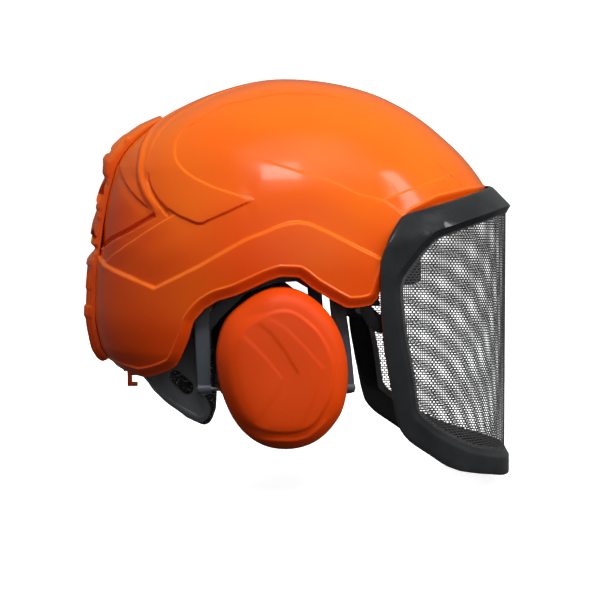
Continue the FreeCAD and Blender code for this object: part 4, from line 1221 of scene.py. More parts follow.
def build_arm():
    prof = [(-1.0, 0.0), (-0.3, 0.3), (0.0, 1.0), (0.0, 2.0), (-0.3, 2.7), (-1.0, 3.0)]
    hole = [(0.3, 0.0), (0.0, 0.3), (0.0, 2.7), (0.3, 3.0)]
    ob = plate("visor_link_right", resample(round_corners(ARM, 3.0), 1.6, True), [circle(15, 28.5, 5.05), circle(67, -35, 2.05, 16)], prof, hole, flat_y(93.0, -1), 4.0, 35.0)
    # stiffening rib along the middle and the round pad that carries the frame
    rib = sweep("rib", resample(round_corners([(22, -95.5, 22), (36, -95.5, 10), (44.5, -95.5, -6), (49.0, -95.5, -24), (57, -95.5, -34.0), (62, -95.5, -35)], 8.0, False), 2.0),
                1.1, 3.4, (0, 1, 0), 6, 2.6, True, 60)
    verts, faces = [], []
    prof2 = [(6.0, 95.6), (6.0, 102.6), (5.6, 103.0), (5.0, 103.2), (2.05, 103.2), (2.05, 95.6)]
    n = 40
    for r, y in prof2:
        for k in range(n):
            a = 2 * math.pi * k / n
            verts.append((67 + r * math.cos(a), -y, -35 + r * math.sin(a)))
    m = len(prof2)
    for i in range(m):
        j = (i + 1) % m
        for k in range(n):
            kk = (k + 1) % n
            faces.append((i * n + k, i * n + kk, j * n + kk, j * n + k))
    boss = new_mesh("boss", verts, faces)
    tidy(boss)
    smooth(boss, 40)
    return join("visor_link_right", [ob, rib, boss])


def join(name, obs):
    """One object from several closed shells."""
    base = obs[0]
    bm = bmesh.new()
    for o in obs:
        bm.from_mesh(o.data)
    bm.to_mesh(base.data)
    bm.free()
    for o in obs[1:]:
        me = o.data
        bpy.data.objects.remove(o)
        bpy.data.meshes.remove(me)
    base.name = name
    base.data.update()
    return base


arm = build_arm()
piece(arm, "visor", ("visor_arm_right",), M_FRAME)
piece(mirrored(arm, "visor_link_left"), "visor", ("visor_arm_left",), M_FRAME)

# ================================================================ stuffed pieces
def swell(ob, hold, cap=1.0, pressure=4.0, frames=20, stiff=12.0):
    """Blows a sewn piece up from inside as cloth, with the held points fixed, and keeps the shape it takes.
    No point moves further than cap (mm)."""
    me = ob.data
    n = len(me.vertices)
    rest = np.zeros(n * 3)
    me.vertices.foreach_get("co", rest)
    rest = rest.reshape(-1, 3)
    idx = [int(i) for i in np.nonzero(hold(rest * 1000.0))[0]]
    vg = ob.vertex_groups.new(name="held")
    vg.add(idx, 1.0, "REPLACE")
    mod = ob.modifiers.new("cloth", "CLOTH")
    st = mod.settings
    st.quality = 6
    st.mass = 0.25
    st.tension_stiffness = st.compression_stiffness = stiff
    st.shear_stiffness = 4.0
    st.bending_stiffness = 0.6
    st.use_pressure = True
    st.uniform_pressure_force = pressure
    st.vertex_group_mass = "held"
    st.effector_weights.gravity = 0.0
    mod.collision_settings.use_collision = False
    mod.collision_settings.use_self_collision = False
    mod.point_cache.frame_start = 1
    mod.point_cache.frame_end = frames
    for f in range(1, frames + 1):
        SCENE.frame_set(f)
    ev = ob.evaluated_get(bpy.context.evaluated_depsgraph_get())
    out = np.zeros(len(ev.data.vertices) * 3)
    ev.data.vertices.foreach_get("co", out)
    out = out.reshape(-1, 3)
    ob.modifiers.remove(mod)
    ob.vertex_groups.remove(vg)
    SCENE.frame_set(1)
    if len(out) != n or not np.isfinite(out).all():
        return ob
    mv = out - rest
    L = np.linalg.norm(mv, axis=1, keepdims=True)
    lim = cap / 1000.0
    mv *= np.where(L > 1e-9, lim * np.tanh(L / lim) / np.maximum(L, 1e-9), 0.0)
    me.vertices.foreach_set("co", (rest + mv).ravel())
    me.update()
    return ob


# ================================================================ ear cups
EGG = [(-11.5, -7.6), (-26.4, -11.3), (-43.2, -23.5), (-51.6, -33.8), (-55.8, -48.8), (-56.3, -60.1), (-53.9, -76.0), (-49.7, -89.2), (-43.1, -102.3),
       (-33.7, -112.6), (-22.5, -119.2), (-9.3, -121.5), (3.8, -120.1), (16.1, -114.4), (25.4, -105.0), (31.9, -94.7), (35.2, -78.8), (35.6, -63.8),
       (33.7, -51.7), (29.9, -39.5), (22.4, -26.5), (13.0, -17.1), (2.8, -10.5)]
ECX, ECZ = -10.4, -64.5


def catmull(poly, per=10):
    p = np.asarray(poly, float)
    out = []
    n = len(p)
    for i in range(n):
        a, b, c, d = p[i - 1], p[i], p[(i + 1) % n], p[(i + 2) % n]
        for k in range(per):
            t = k / per
            out.append(0.5 * (2 * b + (c - a) * t + (2 * a - 5 * b + 4 * c - d) * t * t + (3 * b - a - 3 * c + d) * t ** 3))
    return np.array(out)


_eg = catmull(EGG)
_ea = np.arctan2(_eg[:, 1] - ECZ, _eg[:, 0] - ECX)
_er = np.hypot(_eg[:, 0] - ECX, _eg[:, 1] - ECZ)
_o = np.argsort(_ea)
_ea, _er = _ea[_o], _er[_o]
_ea3 = np.concatenate([_ea - 2 * math.pi, _ea, _ea + 2 * math.pi])
_er3 = np.tile(_er, 3)
NA = 176
CA = np.linspace(-math.pi, math.pi, NA, endpoint=False)
CR = np.interp(CA, _ea3, _er3)
_k = np.exp(-(np.arange(-9, 10) / 3.6) ** 2)
CR = np.convolve(np.concatenate([CR[-9:], CR, CR[:9]]), _k / _k.sum(), mode="valid")


def egg_ring(inset, y):
    """One ring of the cup outline, drawn in by inset, at y."""
    r = np.maximum(CR - inset, 0.0)
    return np.stack([ECX + r * np.cos(CA), np.full(NA, y), ECZ + r * np.sin(CA)], axis=1)


def dist_open(poly, q):
    a = np.asarray(poly, float)
    best = np.full(len(q), 1e9)
    side = np.ones(len(q))
    for p1, p2 in zip(a[:-1], a[1:]):
        d = p2 - p1
        L = float(np.dot(d, d))
        t = np.clip(((q - p1) @ d) / L, 0, 1)
        r = q - p1 - t[:, None] * d
        dd = np.linalg.norm(r, axis=1)
        cr = d[0] * (q[:, 1] - p1[1]) - d[1] * (q[:, 0] - p1[0])
        u = dd < best - 1e-9
        best = np.where(u, dd, best)
        side = np.where(u, np.sign(cr), side)
    return best * side


PLATEAU = np.array([(-44.9, -44.3), (-48.1, -50.9), (-50.1, -60.7), (-49.0, -72.1), (-44.9, -85.1), (-39.2, -96.7), (-32.7, -102.4), (-20.0, -106.9), (-2.6, -107.1),
                    (9.2, -102.3), (17.5, -91.2), (22.7, -78.8), (23.8, -64.5), (22.2, -56.3), (18.1, -47.2), (13.1, -39.0), (6.6, -32.5), (0.0, -27.5), (-7.3, -24.2),
                    (-16.3, -24.6), (-23.7, -27.4), (-35.8, -34.0)])
PLATEAU = catmull(PLATEAU, 5)
LIP = [(-36.6, -109.8), (-32.7, -112.7), (-19.6, -114.1), (-2.4, -114.3), (6.6, -111.9), (14.8, -105.4), (20.3, -98.2)]
CHEV = [[(-15.8, -31.4), (-9.8, -34.8), (3.6, -48.1), (17.2, -63.6), (12.7, -77.3), (8.2, -88.9)],
        [(-25.5, -34.1), (-19.6, -38.8), (-10.3, -50.8), (-0.8, -66.8), (-9.6, -84.1), (-18.6, -99.9)],
        [(-38.6, -40.9), (-34.2, -44.4), (-22.7, -56.2), (-11.4, -70.7), (-15.8, -81.2), (-24.1, -92.3)]]


def cup_relief(q):
    """Height of the cup's moulded pattern at points (x, z)."""
    d = dist2(PLATEAU, q) * np.where(inside2(PLATEAU, q), -1.0, 1.0)
    left = sstep((-(q[:, 0] + 18) / 22.0)) * sstep((q[:, 1] + 112) / 10.0)
    width = 2.6 + 6.5 * left
    amp = 1.1 + 1.7 * left
    h = -amp * sstep(d / width + 0.25)
    dl = dist_open(LIP, q)
    h += 1.0 * sstep(1 - np.abs(dl) / 2.6) * sstep((-104.0 - q[:, 1] + 8) / 8.0)
    # chevron bands, alternately raised and level
    win = sstep((-d + 0.5) / 5.0)
    for c, sign_ in zip(CHEV, (1.0, -1.0, 1.0)):
        c = np.asarray(c, float)
        c = np.vstack([c[0] + (c[0] - c[1]) * 3.0, c, c[-1] + (c[-1] - c[-2]) * 2.0])
        dc = dist_open(c, q)
        h += 0.42 * sign_ * (sstep(0.5 - dc / 3.0) - 0.5) * win
    return h


def build_cap():
    prof = [(0.5, 0.0), (0.2, 0.8), (0.05, 3.0), (0.0, 6.0), (0.15, 10), (0.8, 14), (1.9, 17.3), (4.0, 20.4), (7.0, 22.9), (11.0, 24.8), (15.0, 25.8), (20, 26.5), (28, 27.1),
            (38, 27.4), (60, 27.5)]
    L = np.concatenate([[0], np.cumsum(np.hypot(np.diff([p[0] for p in prof]), np.diff([p[1] for p in prof])))])
    s = np.concatenate([np.linspace(0, L[9], 26, endpoint=False), np.linspace(L[9], L[-1], 60)])
    ins = pchip([(a, p[0]) for a, p in zip(L, prof)], s)
    dep = pchip([(a, p[1]) for a, p in zip(L, prof)], s)
    rings = []
    for i, d in zip(ins, dep):
        f = min(i, 60.0)
        r = CR - f if f < 12 else (CR - 12) * (1 - (f - 12) / (60.0 - 12))
        r = np.maximum(r, 0.0)
        R = np.stack([ECX + r * np.cos(CA), np.full(NA, -96.0 - d), ECZ + r * np.sin(CA)], axis=1)
        h = cup_relief(R[:, [0, 2]])
        top = sstep((d - 12.0) / 8.0)
        R[:, 1] -= h * top
        rings.append(R)
    inner = [np.stack([ECX + np.maximum(CR - a, 0) * np.cos(CA), np.full(NA, -96.0 - b), ECZ + np.maximum(CR - a, 0) * np.sin(CA)], axis=1)
             for a, b in ((2.6, 0.0), (2.4, 6.0), (3.2, 13), (6.4, 18.6), (13.4, 22.6), (22.4, 24.0), (40.0, 24.6))]
    verts = [r for R in rings[:-1] for r in R]
    n1 = len(rings) - 1
    faces = []
    for i in range(n1 - 1):
        for k in range(NA):
            j = (k + 1) % NA
            faces.append((i * NA + k, i * NA + j, (i + 1) * NA + j, (i + 1) * NA + k))
    c = len(verts)
    verts.append(rings[-1].mean(axis=0))
    for k in range(NA):
        faces.append(((n1 - 1) * NA + k, (n1 - 1) * NA + (k + 1) % NA, c))
    b = len(verts)
    for R in inner:
        verts.extend(list(R))
    for i in range(len(inner) - 1):
        for k in range(NA):
            j = (k + 1) % NA
            faces.append((b + i * NA + j, b + i * NA + k, b + (i + 1) * NA + k, b + (i + 1) * NA + j))
    c = len(verts)
    verts.append(inner[-1].mean(axis=0))
    e = b + (len(inner) - 1) * NA
    for k in range(NA):
        faces.append((e + (k + 1) % NA, e + k, c))
    for k in range(NA):
        j = (k + 1) % NA
        faces.append((k, b + k, b + j, j))
    ob = new_mesh("ear_cup_shell_right", verts, faces)
    tidy(ob)
    return smooth(ob, 50)


def lathe_egg(name, prof, angle=40.0, wave=None):
    """A closed ring that follows the cup outline; prof is a closed list of (inset, |y|)."""
    verts, faces = [], []
    for i, y in prof:
        R = egg_ring(i, -y)
        if wave is not None:
            R = R + wave(i, y)
        verts.extend(list(R))
    m = len(prof)
    for i in range(m):
        j = (i + 1) % m
        for k in range(NA):
            kk = (k + 1) % NA
            faces.append((i * NA + k, i * NA + kk, j * NA + kk, j * NA + k))
    ob = new_mesh(name, verts, faces)
    tidy(ob)
    return smooth(ob, angle)


cap = build_cap()
base_prof = [(6.0, 95.6), (5.6, 95.0), (5.6, 91.0), (6.6, 90.2), (6.6, 88.6), (6.0, 88.0), (6.4, 87.3), (19.6, 87.2), (20.2, 87.8), (20.2, 95.2), (19.8, 95.7)]
cup_base = lathe_egg("ear_cup_plate_right", base_prof)
# cushion: a full roll that bulges out, is pinched in at its outer seam and is flat against the plate
cush_prof = []
for k in range(44):
    a = 2 * math.pi * (k + 0.5) / 44
    ca, sa = math.cos(a), math.sin(a)
    u = math.copysign(abs(ca) ** 0.72, ca)
    v = math.copysign(abs(sa) ** 0.80, sa)
    cush_prof.append((13.2 - 9.0 * u, 80.0 - 7.0 * v))


def cush_wave(i, y):
    """Small creases where the skin turns the tight curves, stronger on the inner edge."""
    k = 0.35 * np.sin(CA * 46.0) * math.exp(-((i - 21.0) / 3.5) ** 2) + 0.22 * np.sin(CA * 31.0 + 1.0) * math.exp(-((i - 5.0) / 2.6) ** 2)
    return np.stack([k * np.cos(CA), 0.35 * k, k * np.sin(CA)], axis=1)


cushion = lathe_egg("ear_cushion_right", cush_prof, 60.0, cush_wave)
swell(cushion, lambda P: P[:, 1] < -84.6, 0.9)
seam = lathe_egg("seam", [(3.95 + 0.55 * math.cos(a), 83.4 + 0.55 * math.sin(a)) for a in np.linspace(0, 2 * math.pi, 8, endpoint=False)], 60.0)
cushion = join("ear_cushion_right", [cushion, seam])
foam_prof_out = [(17.5, 100.0), (16.2, 101.5), (16.0, 106.0), (16.6, 110.8), (18.5, 112.2)]


def build_foam():
    verts, faces = [], []
    rows = [(40.0, 99.7), (30.0, 99.5)] + foam_prof_out + [(30.0, 112.5), (40.0, 112.3)]
    for i, y in rows:
        R = egg_ring(i, -y)
        R[:, 1] += 0.35 * np.sin(CA * 9 + y) * (1.0 if i > 17 else 0.3)
        verts.extend(list(R))
    for i in range(len(rows) - 1):
        for k in range(NA):
            j = (k + 1) % NA
            faces.append((i * NA + k, i * NA + j, (i + 1) * NA + j, (i + 1) * NA + k))
    for row, y in ((0, 99.7), (len(rows) - 1, 112.3)):
        c = len(verts)
        verts.append((ECX, -y, ECZ))
        for k in range(NA):
            j = (k + 1) % NA
            f = (row * NA + j, row * NA + k, c)
            faces.append(f if row == 0 else f[::-1])
    ob = new_mesh("ear_foam_right", verts, faces)
    tidy(ob)
    return smooth(ob, 50)


foam_pad = build_foam()
for src, nm, node, mat, slot_, pad in ((cap, "ear_cup_shell", "cup_cap", M_CUP, "shell_orange", None), (cup_base, "ear_cup_plate", "cup_base", M_INNER, "liner_black", None),
                                       (cushion, "ear_cushion", "cup_cushion", M_CUSH, "cushion_black", 0.75), (foam_pad, "ear_foam", "cup_foam", M_FOAM, "foam_grey", 0.5)):
    left = mirrored(src, nm + "_left")
    piece(src, "cup_right", (node + "_right",), mat)
    piece(left, "cup_left", (node + "_left",), mat)


# ================================================================ yokes
def build_yoke():
    path = [(-64.1, -91.25, -84.0), (-64.2, -91.25, -78.0), (-65.4, -91.1, -48.0), (-66.0, -85.3, -24.0), (-66.0, -85.25, -6.0), (-64.5, -85.25, 3.0), (-57.0, -85.25, 8.2),
            (-45, -85.25, 8.2), (-18.5, -85.25, 8.2), (8, -85.25, 8.2), (21.0, -85.25, 8.2), (28.0, -85.25, 3.0), (29.8, -85.25, -6.0), (30.5, -85.3, -24.0), (33.8, -91.1, -48.0),
            (37.2, -91.25, -78.0), (37.4, -91.25, -84.0)]
    P = chaikin(path, 3, False)
    P = resample(P, 2.2)
    T = np.gradient(P, axis=0)
    T /= np.linalg.norm(T, axis=1, keepdims=True)
    S = np.cross(T, np.array([0, 1.0, 0]))
    S /= np.linalg.norm(S, axis=1, keepdims=True)
    z = P[:, 2]
    w = np.interp(z, [-84, -80, -50, -20, 8], [7.0, 9.6, 10.6, 11.4, 11.6])
    w[(z < -80.5)] = np.interp(z[z < -80.5], [-84, -82.5, -80.5], [4.5, 8.2, 9.6])
    body = sweep("yoke_bar_right", P, w, 3.7, S, 7, 4.5, True, 50)
    lug = plate("lug", round_corners([(-23.7, 5.2), (-16.3, 5.2), (-16.3, 10.8), (-23.7, 10.8)], 0.8), [], [(-0.5, 86.0), (0.0, 86.5), (0.0, 91.0), (-0.5, 91.5)], [],
                lambda p, wd: np.stack([p[:, 0], -wd, p[:, 1]], axis=1), None, 40)
    parts = [body, lug]
    for x0, x1, y, zz, r in ((-23.7, -16.3, -91.0, 8.0, 3.5), (-69.0, -59.2, -91.25, -80.0, 3.5), (32.6, 42.0, -91.25, -80.0, 3.5)):
        n = 30
        prof = [(1.56, x0 + 0.4), (1.9, x0), (r - 0.5, x0), (r, x0 + 0.5), (r, x1 - 0.5), (r - 0.5, x1), (1.9, x1), (1.56, x1 - 0.4)]
        v, f = [], []
        for rr, xx in prof:
            for k in range(n):
                a = 2 * math.pi * k / n
                v.append((xx, y + rr * math.cos(a), zz + rr * math.sin(a)))
        m = len(prof)
        for i in range(m):
            j = (i + 1) % m
            for k in range(n):
                kk = (k + 1) % n
                f.append((i * n + k, i * n + kk, j * n + kk, j * n + k))
        o = new_mesh("kn", v, f)
        tidy(o)
        smooth(o, 40)
        parts.append(o)
    return join("yoke_bar_right", parts)


yk = build_yoke()
yl = mirrored(yk, "yoke_bar_left")
piece(yk, "yoke_right", ("yoke_right",), M_YOKE)
piece(yl, "yoke_left", ("yoke_left",), M_YOKE)

# ================================================================ nape cradle
NX, NAA, NW, NN = -50.0, 58.0, 64.0, 2.4
_ct = np.linspace(0, math.pi / 2, 3001)


def nape_tab(off):
    x = NX - (NAA - off) * np.cos(_ct) ** (2 / NN)
    y = (NW - off) * np.sin(_ct) ** (2 / NN)
    s = np.concatenate([[0], np.cumsum(np.hypot(np.diff(x), np.diff(y)))])
    nx, ny = np.gradient(y, s + np.arange(len(s)) * 1e-9), -np.gradient(x, s + np.arange(len(s)) * 1e-9)
    l = np.hypot(nx, ny)
    return x, y, s, -np.abs(nx / l), np.abs(ny / l)


NT = nape_tab(0.0)


def nape_s(x):
    return np.interp(np.asarray(x, float), NT[0], NT[2])


def nape_place(p, w):
    a = np.abs(p[:, 0])
    sg = np.where(p[:, 0] >= 0, -1.0, 1.0)
    x, y = np.interp(a, NT[2], NT[0]), np.interp(a, NT[2], NT[1])
    nx, ny = np.interp(a, NT[2], NT[3]), np.interp(a, NT[2], NT[4])
    return np.stack([x - nx * w, sg * (y - ny * w), p[:, 1]], axis=1)


def to_ns(poly):
    p = resample(poly, 0.8)
    return np.stack([nape_s(p[:, 0]), p[:, 1]], axis=1)


cr_r = to_ns([(-108, -77.4), (-104, -80.5), (-99.7, -86.2), (-90.3, -94.2), (-78, -102), (-66, -108), (-59, -103), (-58.5, -95), (-64, -86), (-61, -73), (-58.2, -60), (-58.2, -34), (-75, -34),
              (-108, -34)])
cr_out = resample(round_corners(resample(both_sides(cr_r), 4.0, True), 4.0), 1.8, True)
holes = []
for sg in (1, -1):
    cap_ = []
    a0 = math.atan2(-82 + 75, -76 + 84)
    for cx, cz, st in ((-76, -82, a0 - math.pi / 2), (-84, -75, a0 + math.pi / 2)):
        for k in range(12):
            a = st + math.pi * k / 11
            cap_.append((cx + 5.0 * math.cos(a), cz + 5.0 * math.sin(a)))
    cap_ = np.array(cap_)
    holes.append(np.stack([sg * nape_s(cap_[:, 0]), cap_[:, 1]], axis=1))
    st_ = circle(-84, -42, 2.05, 18)
    holes.append(np.stack([sg * nape_s(st_[:, 0]), st_[:, 1]], axis=1))
holes.append(np.stack([3.05 * np.cos(np.linspace(0, 2 * math.pi, 24, endpoint=False)), -60 + 3.05 * np.sin(np.linspace(0, 2 * math.pi, 24, endpoint=False))], axis=1))
cradle = plate("nape_cradle_shell", cr_out, holes, [(-1.8, 0.0), (-0.7, 0.2), (-0.1, 1.0), (0.0, 1.6), (0.0, 3.2), (-0.3, 3.8), (-0.9, 4.0)],
               [(1.0, 0.0), (0.3, 0.3), (0.0, 1.0), (0.0, 3.4), (0.4, 4.0)], nape_place, 3.0, 35.0)
bead = plate("bead", offset2(cr_out if area2(cr_out) > 0 else cr_out[::-1], -1.6), [offset2(cr_out if area2(cr_out) > 0 else cr_out[::-1], -5.2)],
             [(-1.3, -1.0), (-0.5, -0.8), (0.0, -0.3), (0.0, 0.6)], [(1.3, -1.0), (0.5, -0.8), (0.0, -0.3), (0.0, 0.6)], nape_place, None, 40.0)
cradle = join("nape_cradle_shell", [cradle, bead])
piece(cradle, "nape", ("nape_cradle",), M_STRAP)
# ================================================================ pads
def puff(name, outer, holes, place, w0, w1, r=4.0, seams=(), seam_depth=1.6, seam_width=1.5, step=2.0, drape=0.25, cap=1.0):
    """A stuffed pad: flat-ish on the face at depth w0, crowned at depth w1, pulled in at its edges and along its seams."""
    outer = np.asarray(outer, float)
    if area2(outer) < 0:
        outer = outer[::-1]
    hs = [np.asarray(h, float) for h in holes]
    V, tri, ov = fill2([outer] + hs, step)
    d = dist2(outer, V)
    for h in hs:
        d = np.minimum(d, dist2(h, V))
    q = np.clip(d / r, 0, 1)
    rnd = np.sqrt(np.maximum(0.0, 1 - (1 - q) ** 2))
    q0 = np.clip(d / (0.5 * r), 0, 1)
    rnd0 = np.sqrt(np.maximum(0.0, 1 - (1 - q0) ** 2))
    mid = w0 + 0.34 * (w1 - w0)
    top = mid + (w1 - mid) * rnd
    bot = mid - (mid - w0) * rnd0
    sd = np.full(len(V), 1e9)
    for sm in seams:
        sd = np.minimum(sd, np.abs(dist_open(sm, V)))
    inner = sstep(d / (0.6 * r))
    if len(seams):
        # channels between the seams stand up, and the skin puckers a little next to the thread
        top -= seam_depth * np.exp(-(sd / seam_width) ** 2) * inner
        top -= 0.9 * np.exp(-(sd / (3.2 * seam_width)) ** 2) * inner
        top += 0.22 * np.sin(V[:, 0] * 1.9 + 0.7 * np.sin(V[:, 1] * 0.8)) * np.exp(-((sd - 2.2 * seam_width) / 1.6) ** 2) * inner
    top += drape * np.sin(V[:, 0] * 0.13 + 1.0) * np.sin(V[:, 1] * 0.17 + 0.4) * inner
    top = np.maximum(top, mid + 0.15 * (w1 - mid) * rnd)
    n = len(V)
    A, B = place(V, top), place(V, bot)
    verts = np.vstack([A, B])
    faces = [tuple(t) for t in tri] + [tuple(n + i for i in t[::-1]) for t in tri]
    ob = new_mesh(name, verts, faces)
    tidy(ob, 0.00002)
    fixed = np.vstack([A[(d < 0.6 * step) | (sd < 0.9)], B])

    def hold(P):
        tree = KDTree(len(fixed))
        for i, q_ in enumerate(fixed):
            tree.insert(Vector(q_), i)
        tree.balance()
        return np.array([tree.find(Vector(q_))[2] < 0.05 for q_ in P])

    swell(ob, hold, cap)
    return smooth(ob, 70.0)


LA, LB, LW, LH = 127.0, 124.0, 89.0, 126.0


def crown_place(p, w):
    off = -w
    n = np.where(p[:, 0] >= 0, 2.1, 2.3)
    a = np.where(p[:, 0] >= 0, LA, LB) + off
    c = ((np.abs(p[:, 0]) / a) ** n + (np.abs(p[:, 1]) / (LW + off)) ** n) ** (1 / n)
    return np.stack([p[:, 0], p[:, 1], (LH + off) * np.sqrt(np.maximum(0, 1 - c * c))], axis=1)


def rear_place(p, w):
    off = -w
    c = np.sqrt(np.maximum(0, 1 - (np.maximum(p[:, 1], 0) / (LH + off)) ** 2))
    k = np.maximum(0, 1 - (np.abs(p[:, 0]) / ((LW + off) * c)) ** 2.3) ** (1 / 2.3)
    return np.stack([-(LB + off) * c * k, p[:, 0], p[:, 1]], axis=1)


def rect(x0, y0, x1, y1, r, step=2.0):
    return resample(round_corners([(x0, y0), (x1, y0), (x1, y1), (x0, y1)], r), step, True)


crown_shape = resample(round_corners([(-57, -30), (-48, -37), (-8, -34), (20, -37), (52, -35), (61, -24), (61, 24), (52, 35), (20, 37), (-8, 34), (-48, 37), (-57, 30)], 12.0), 2.0, True)
crown_vents = [rect(-34, -5.5, -14, 5.5, 5.0, 1.5), rect(14, -5.5, 36, 5.5, 5.0, 1.5)]
crown = puff("crown_cushion", crown_shape, crown_vents, crown_place, 3.5, 10.7, 6.0,
             [[(-52, 14), (56, 14)], [(-52, -14), (56, -14)], [(0, -34), (0, 34)], [(-40, -34), (-40, 34)], [(42, -34), (42, 34)]])
piece(crown, "helmet", ("crown_pad",), M_KNIT)

rear_shape = resample(round_corners([(-39, -8), (-30, -17), (-10, -15), (10, -15), (30, -17), (39, -8), (38, 40), (28, 51), (-28, 51), (-38, 40)], 9.0), 2.0, True)
rear = puff("rear_cushion", rear_shape, [rect(-5.0, 8, 5.0, 30, 4.8, 1.5)], rear_place, 3.5, 10.7, 6.0,
            [[(-14, -14), (-14, 50)], [(14, -14), (14, 50)], [(-38, 18), (-5.5, 18)], [(5.5, 18), (38, 18)]])
piece(rear, "helmet", ("rear_pad",), M_KNIT)

# brow pad: a padded roll along the inside of the front band
_bt = np.linspace(0, math.pi / 2, 2001)


def brow_tab(off):
    x = (98.7 - off) * np.cos(_bt) ** (2 / 2.4)
    y = (78.2 - off) * np.sin(_bt) ** (2 / 2.4)
    return x, y


_bx0, _by0 = brow_tab(0.0)
_bs = np.concatenate([[0], np.cumsum(np.hypot(np.diff(_bx0), np.diff(_by0)))])


def brow_place(p, w):
    a = np.abs(p[:, 0])
    sg = np.where(p[:, 0] >= 0, -1.0, 1.0)
    t = np.interp(a, _bs, _bt)
    x = (98.7 - w) * np.cos(t) ** (2 / 2.4)
    y = (78.2 - w) * np.sin(t) ** (2 / 2.4)
    return np.stack([x, sg * y, p[:, 1]], axis=1)


bs_end = float(np.interp(-49.0, -_bx0, _bs))
brow_shape = resample(round_corners([(-bs_end, -7.5), (-bs_end + 8, -9.6), (-22, -9.6), (-10, -7.8), (10, -7.8), (22, -9.6), (bs_end - 8, -9.6), (bs_end, -7.5), (bs_end, 14),
                                     (bs_end - 8, 16.6), (-bs_end + 8, 16.6), (-bs_end, 14)], 5.0), 1.8, True)
brow_seams = [[(s_, -9.6), (s_, 16.6)] for s_ in np.linspace(-bs_end + 14, bs_end - 14, 7)]
brow = puff("brow_cushion", brow_shape, [], brow_place, 0.1, 5.8, 4.6, brow_seams, 1.1, 1.2, 1.8, 0.15)
piece(brow, "helmet", ("brow_pad",), M_KNIT)

np_r = to_ns([(-108, -80.8), (-104, -82.6), (-99, -88.6), (-90, -96.6), (-78, -104.4), (-64, -109.8), (-58.6, -107.4), (-54.6, -97.6), (-52.6, -60.4), (-60.4, -48.6), (-108, -39.6)])
nape_shape = resample(round_corners(resample(both_sides(np_r), 4.0, True), 5.0), 2.0, True)
ns_end = float(nape_s(-60.0))
nape_seams = [[(s_, -36), (s_, -112)] for s_ in (-60, -41, -22, 22, 41, 60)]
nape = puff("nape_cushion", nape_shape, [], nape_place, 4.5, 10.2, 5.0, nape_seams, 1.2, 1.3, 2.0, 0.2)
piece(nape, "nape", ("nape_pad",), M_KNIT)


# ================================================================ hard CAD nodes that stay: softened edges
def soften(names, width=0.45, segs=2):
    for nm in names:
        ob = NODES.get(nm)
        if ob is None:
            continue
        w = ob.modifiers.new("weld", "WELD")
        w.merge_threshold = 0.00001
        b = ob.modifiers.new("edge_round", "BEVEL")
        b.width = width / 1000.0
        b.segments = segs
        b.limit_method = "ANGLE"
        b.angle_limit = math.radians(40)
        b.use_clamp_overlap = True


soften(["headband_front", "band_clips", "chin_anchor_right", "chin_anchor_left", "muff_bracket_right", "muff_bracket_left", "visor_pivot_right", "visor_pivot_left",
        "rear_hooks", "height_slider_right", "height_slider_left", "adjuster_housing", "adjuster_knob", "side_strap_right", "side_strap_left"])
soften(["bracket_screws", "pivot_screws", "visor_bolts", "hinge_pin_right", "hinge_pin_left", "cup_pins_right", "cup_pins_left", "cradle_studs", "knob_shaft"], 0.25)
soften(["inner_shell"], 0.8)

# ================================================================ stage, lights and camera
def build_stage():
    zf = -0.1575
    prof = [(-4.0, zf)]
    prof += [(2.6 - 1.2 + 1.2 * math.sin(a), zf + 1.2 - 1.2 * math.cos(a)) for a in np.linspace(0, math.pi / 2, 16)]
    prof += [(2.6, 4.0)]
    verts, faces = [], []
    for i, (y, z) in enumerate(prof):
        for x in (-6, 6):
            verts.append((x * 1000, y * 1000, z * 1000))
    for i in range(len(prof) - 1):
        faces.append((2 * i, 2 * i + 1, 2 * i + 3, 2 * i + 2))
    ob = new_mesh("studio_sweep", verts, faces)
    m, nt, bs = mat_new("studio_white")
    v = obj_coords(nt)
    n = noise(nt, v, 3.0, 2.0)
    col = mix_rgb(nt, n, (0.93, 0.93, 0.93), (0.96, 0.96, 0.96))
    nt.links.new(col, bs.inputs["Base Color"])
    bs.inputs["Roughness"].default_value = 0.9
    bs.inputs["Specular IOR Level"].default_value = 0.0
    bs.inputs["Emission Color"].default_value = (1, 1, 1, 1)
    bs.inputs["Emission Strength"].default_value = 0.80
    ob.data.materials.append(m)
    # the white sweep is seen, but it does not light the helmet from below and behind
    ob.visible_diffuse = False
    ob.visible_glossy = False
    return ob


def area(name, loc, look, size, power, color=(1, 1, 1), spread=None):
    ld = bpy.data.lights.new(name, "AREA")
    ld.shape = "RECTANGLE"
    ld.size, ld.size_y = size
    ld.energy = power
    ld.color = color
    if spread:
        ld.spread = math.radians(spread)
    o = bpy.data.objects.new(name, ld)
    SCENE.collection.objects.link(o)
    o.location = loc
    d = Vector(look) - Vector(loc)
    o.rotation_euler = d.to_track_quat("-Z", "Y").to_euler()
    return o


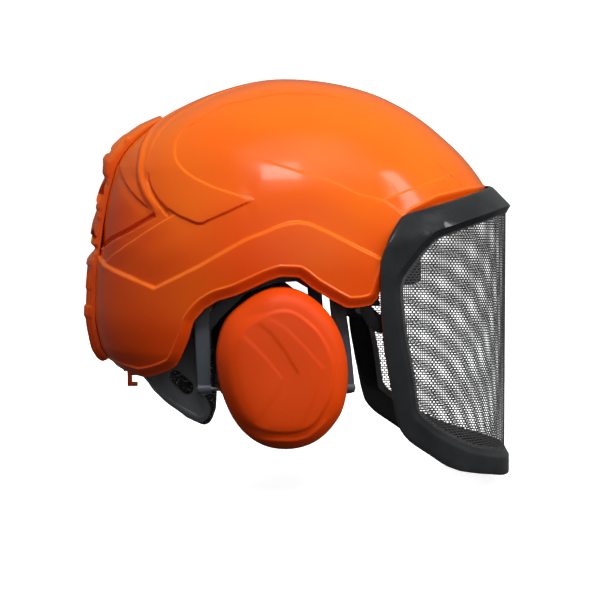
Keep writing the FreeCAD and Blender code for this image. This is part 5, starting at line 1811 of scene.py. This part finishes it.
build_stage()
world = bpy.data.worlds.new("studio")
SCENE.world = world
world.use_nodes = True
wn = world.node_tree
bg = wn.nodes["Background"]
tc = wn.nodes.new("ShaderNodeTexCoord")
sx = wn.nodes.new("ShaderNodeSeparateXYZ")
wn.links.new(tc.outputs["Generated"], sx.inputs[0])
wr = wn.nodes.new("ShaderNodeValToRGB")
wr.color_ramp.elements[0].position = 0.30
wr.color_ramp.elements[0].color = (0.10, 0.10, 0.10, 1)
wr.color_ramp.elements[1].position = 0.85
wr.color_ramp.elements[1].color = (0.75, 0.75, 0.75, 1)
mm = wn.nodes.new("ShaderNodeMath")
mm.operation = "MULTIPLY_ADD"
mm.inputs[1].default_value = 0.5
mm.inputs[2].default_value = 0.5
wn.links.new(sx.outputs["Z"], mm.inputs[0])
wn.links.new(mm.outputs[0], wr.inputs["Fac"])
wn.links.new(wr.outputs["Color"], bg.inputs["Color"])
bg.inputs["Strength"].default_value = 0.30

def soft_only(o):
    """Lights the form but leaves no mirror image of itself in the gloss."""
    o.visible_glossy = False


soft_only(area("key_overhead", (0.25, -0.85, 1.35), (0.0, 0, 0.03), (1.1, 0.8), 22))
soft_only(area("fill_camera", (0.2, -1.6, 0.35), (0.0, 0, -0.02), (0.9, 0.9), 3.4))
soft_only(area("front_wash", (1.3, -0.5, 0.4), (0.02, 0, 0.0), (0.5, 1.0), 6.0))
soft_only(area("fill_far", (-0.2, 1.5, 0.7), (0.0, 0, 0.0), (1.2, 1.0), 12.0))
area("gloss_card_top", (-0.02, -0.95, 1.10), (-0.02, -0.05, 0.06), (0.30, 0.22), 1.3)
area("gloss_card_front", (1.05, -0.75, 0.75), (0.08, -0.03, 0.05), (0.22, 0.75), 2.6)
soft_only(area("rim_rear", (-1.1, 0.25, 0.75), (-0.05, 0, 0.0), (0.4, 0.8), 3.0))

cam_data = bpy.data.cameras.new("camera")
cam_data.sensor_width = 36.0
cam_data.lens = 120.0
cam_data.dof.use_dof = False
cam_data.clip_end = 50.0
cam = bpy.data.objects.new("camera", cam_data)
SCENE.collection.objects.link(cam)
cam.location = (-0.119304, -1.492244, 0.056004)
cam.rotation_euler = (Vector((0.01125, 0.0, -0.0225)) - Vector(cam.location)).to_track_quat("-Z", "Y").to_euler()
SCENE.camera = cam
SCENE.view_settings.view_transform = "Standard"
SCENE.view_settings.look = "None"
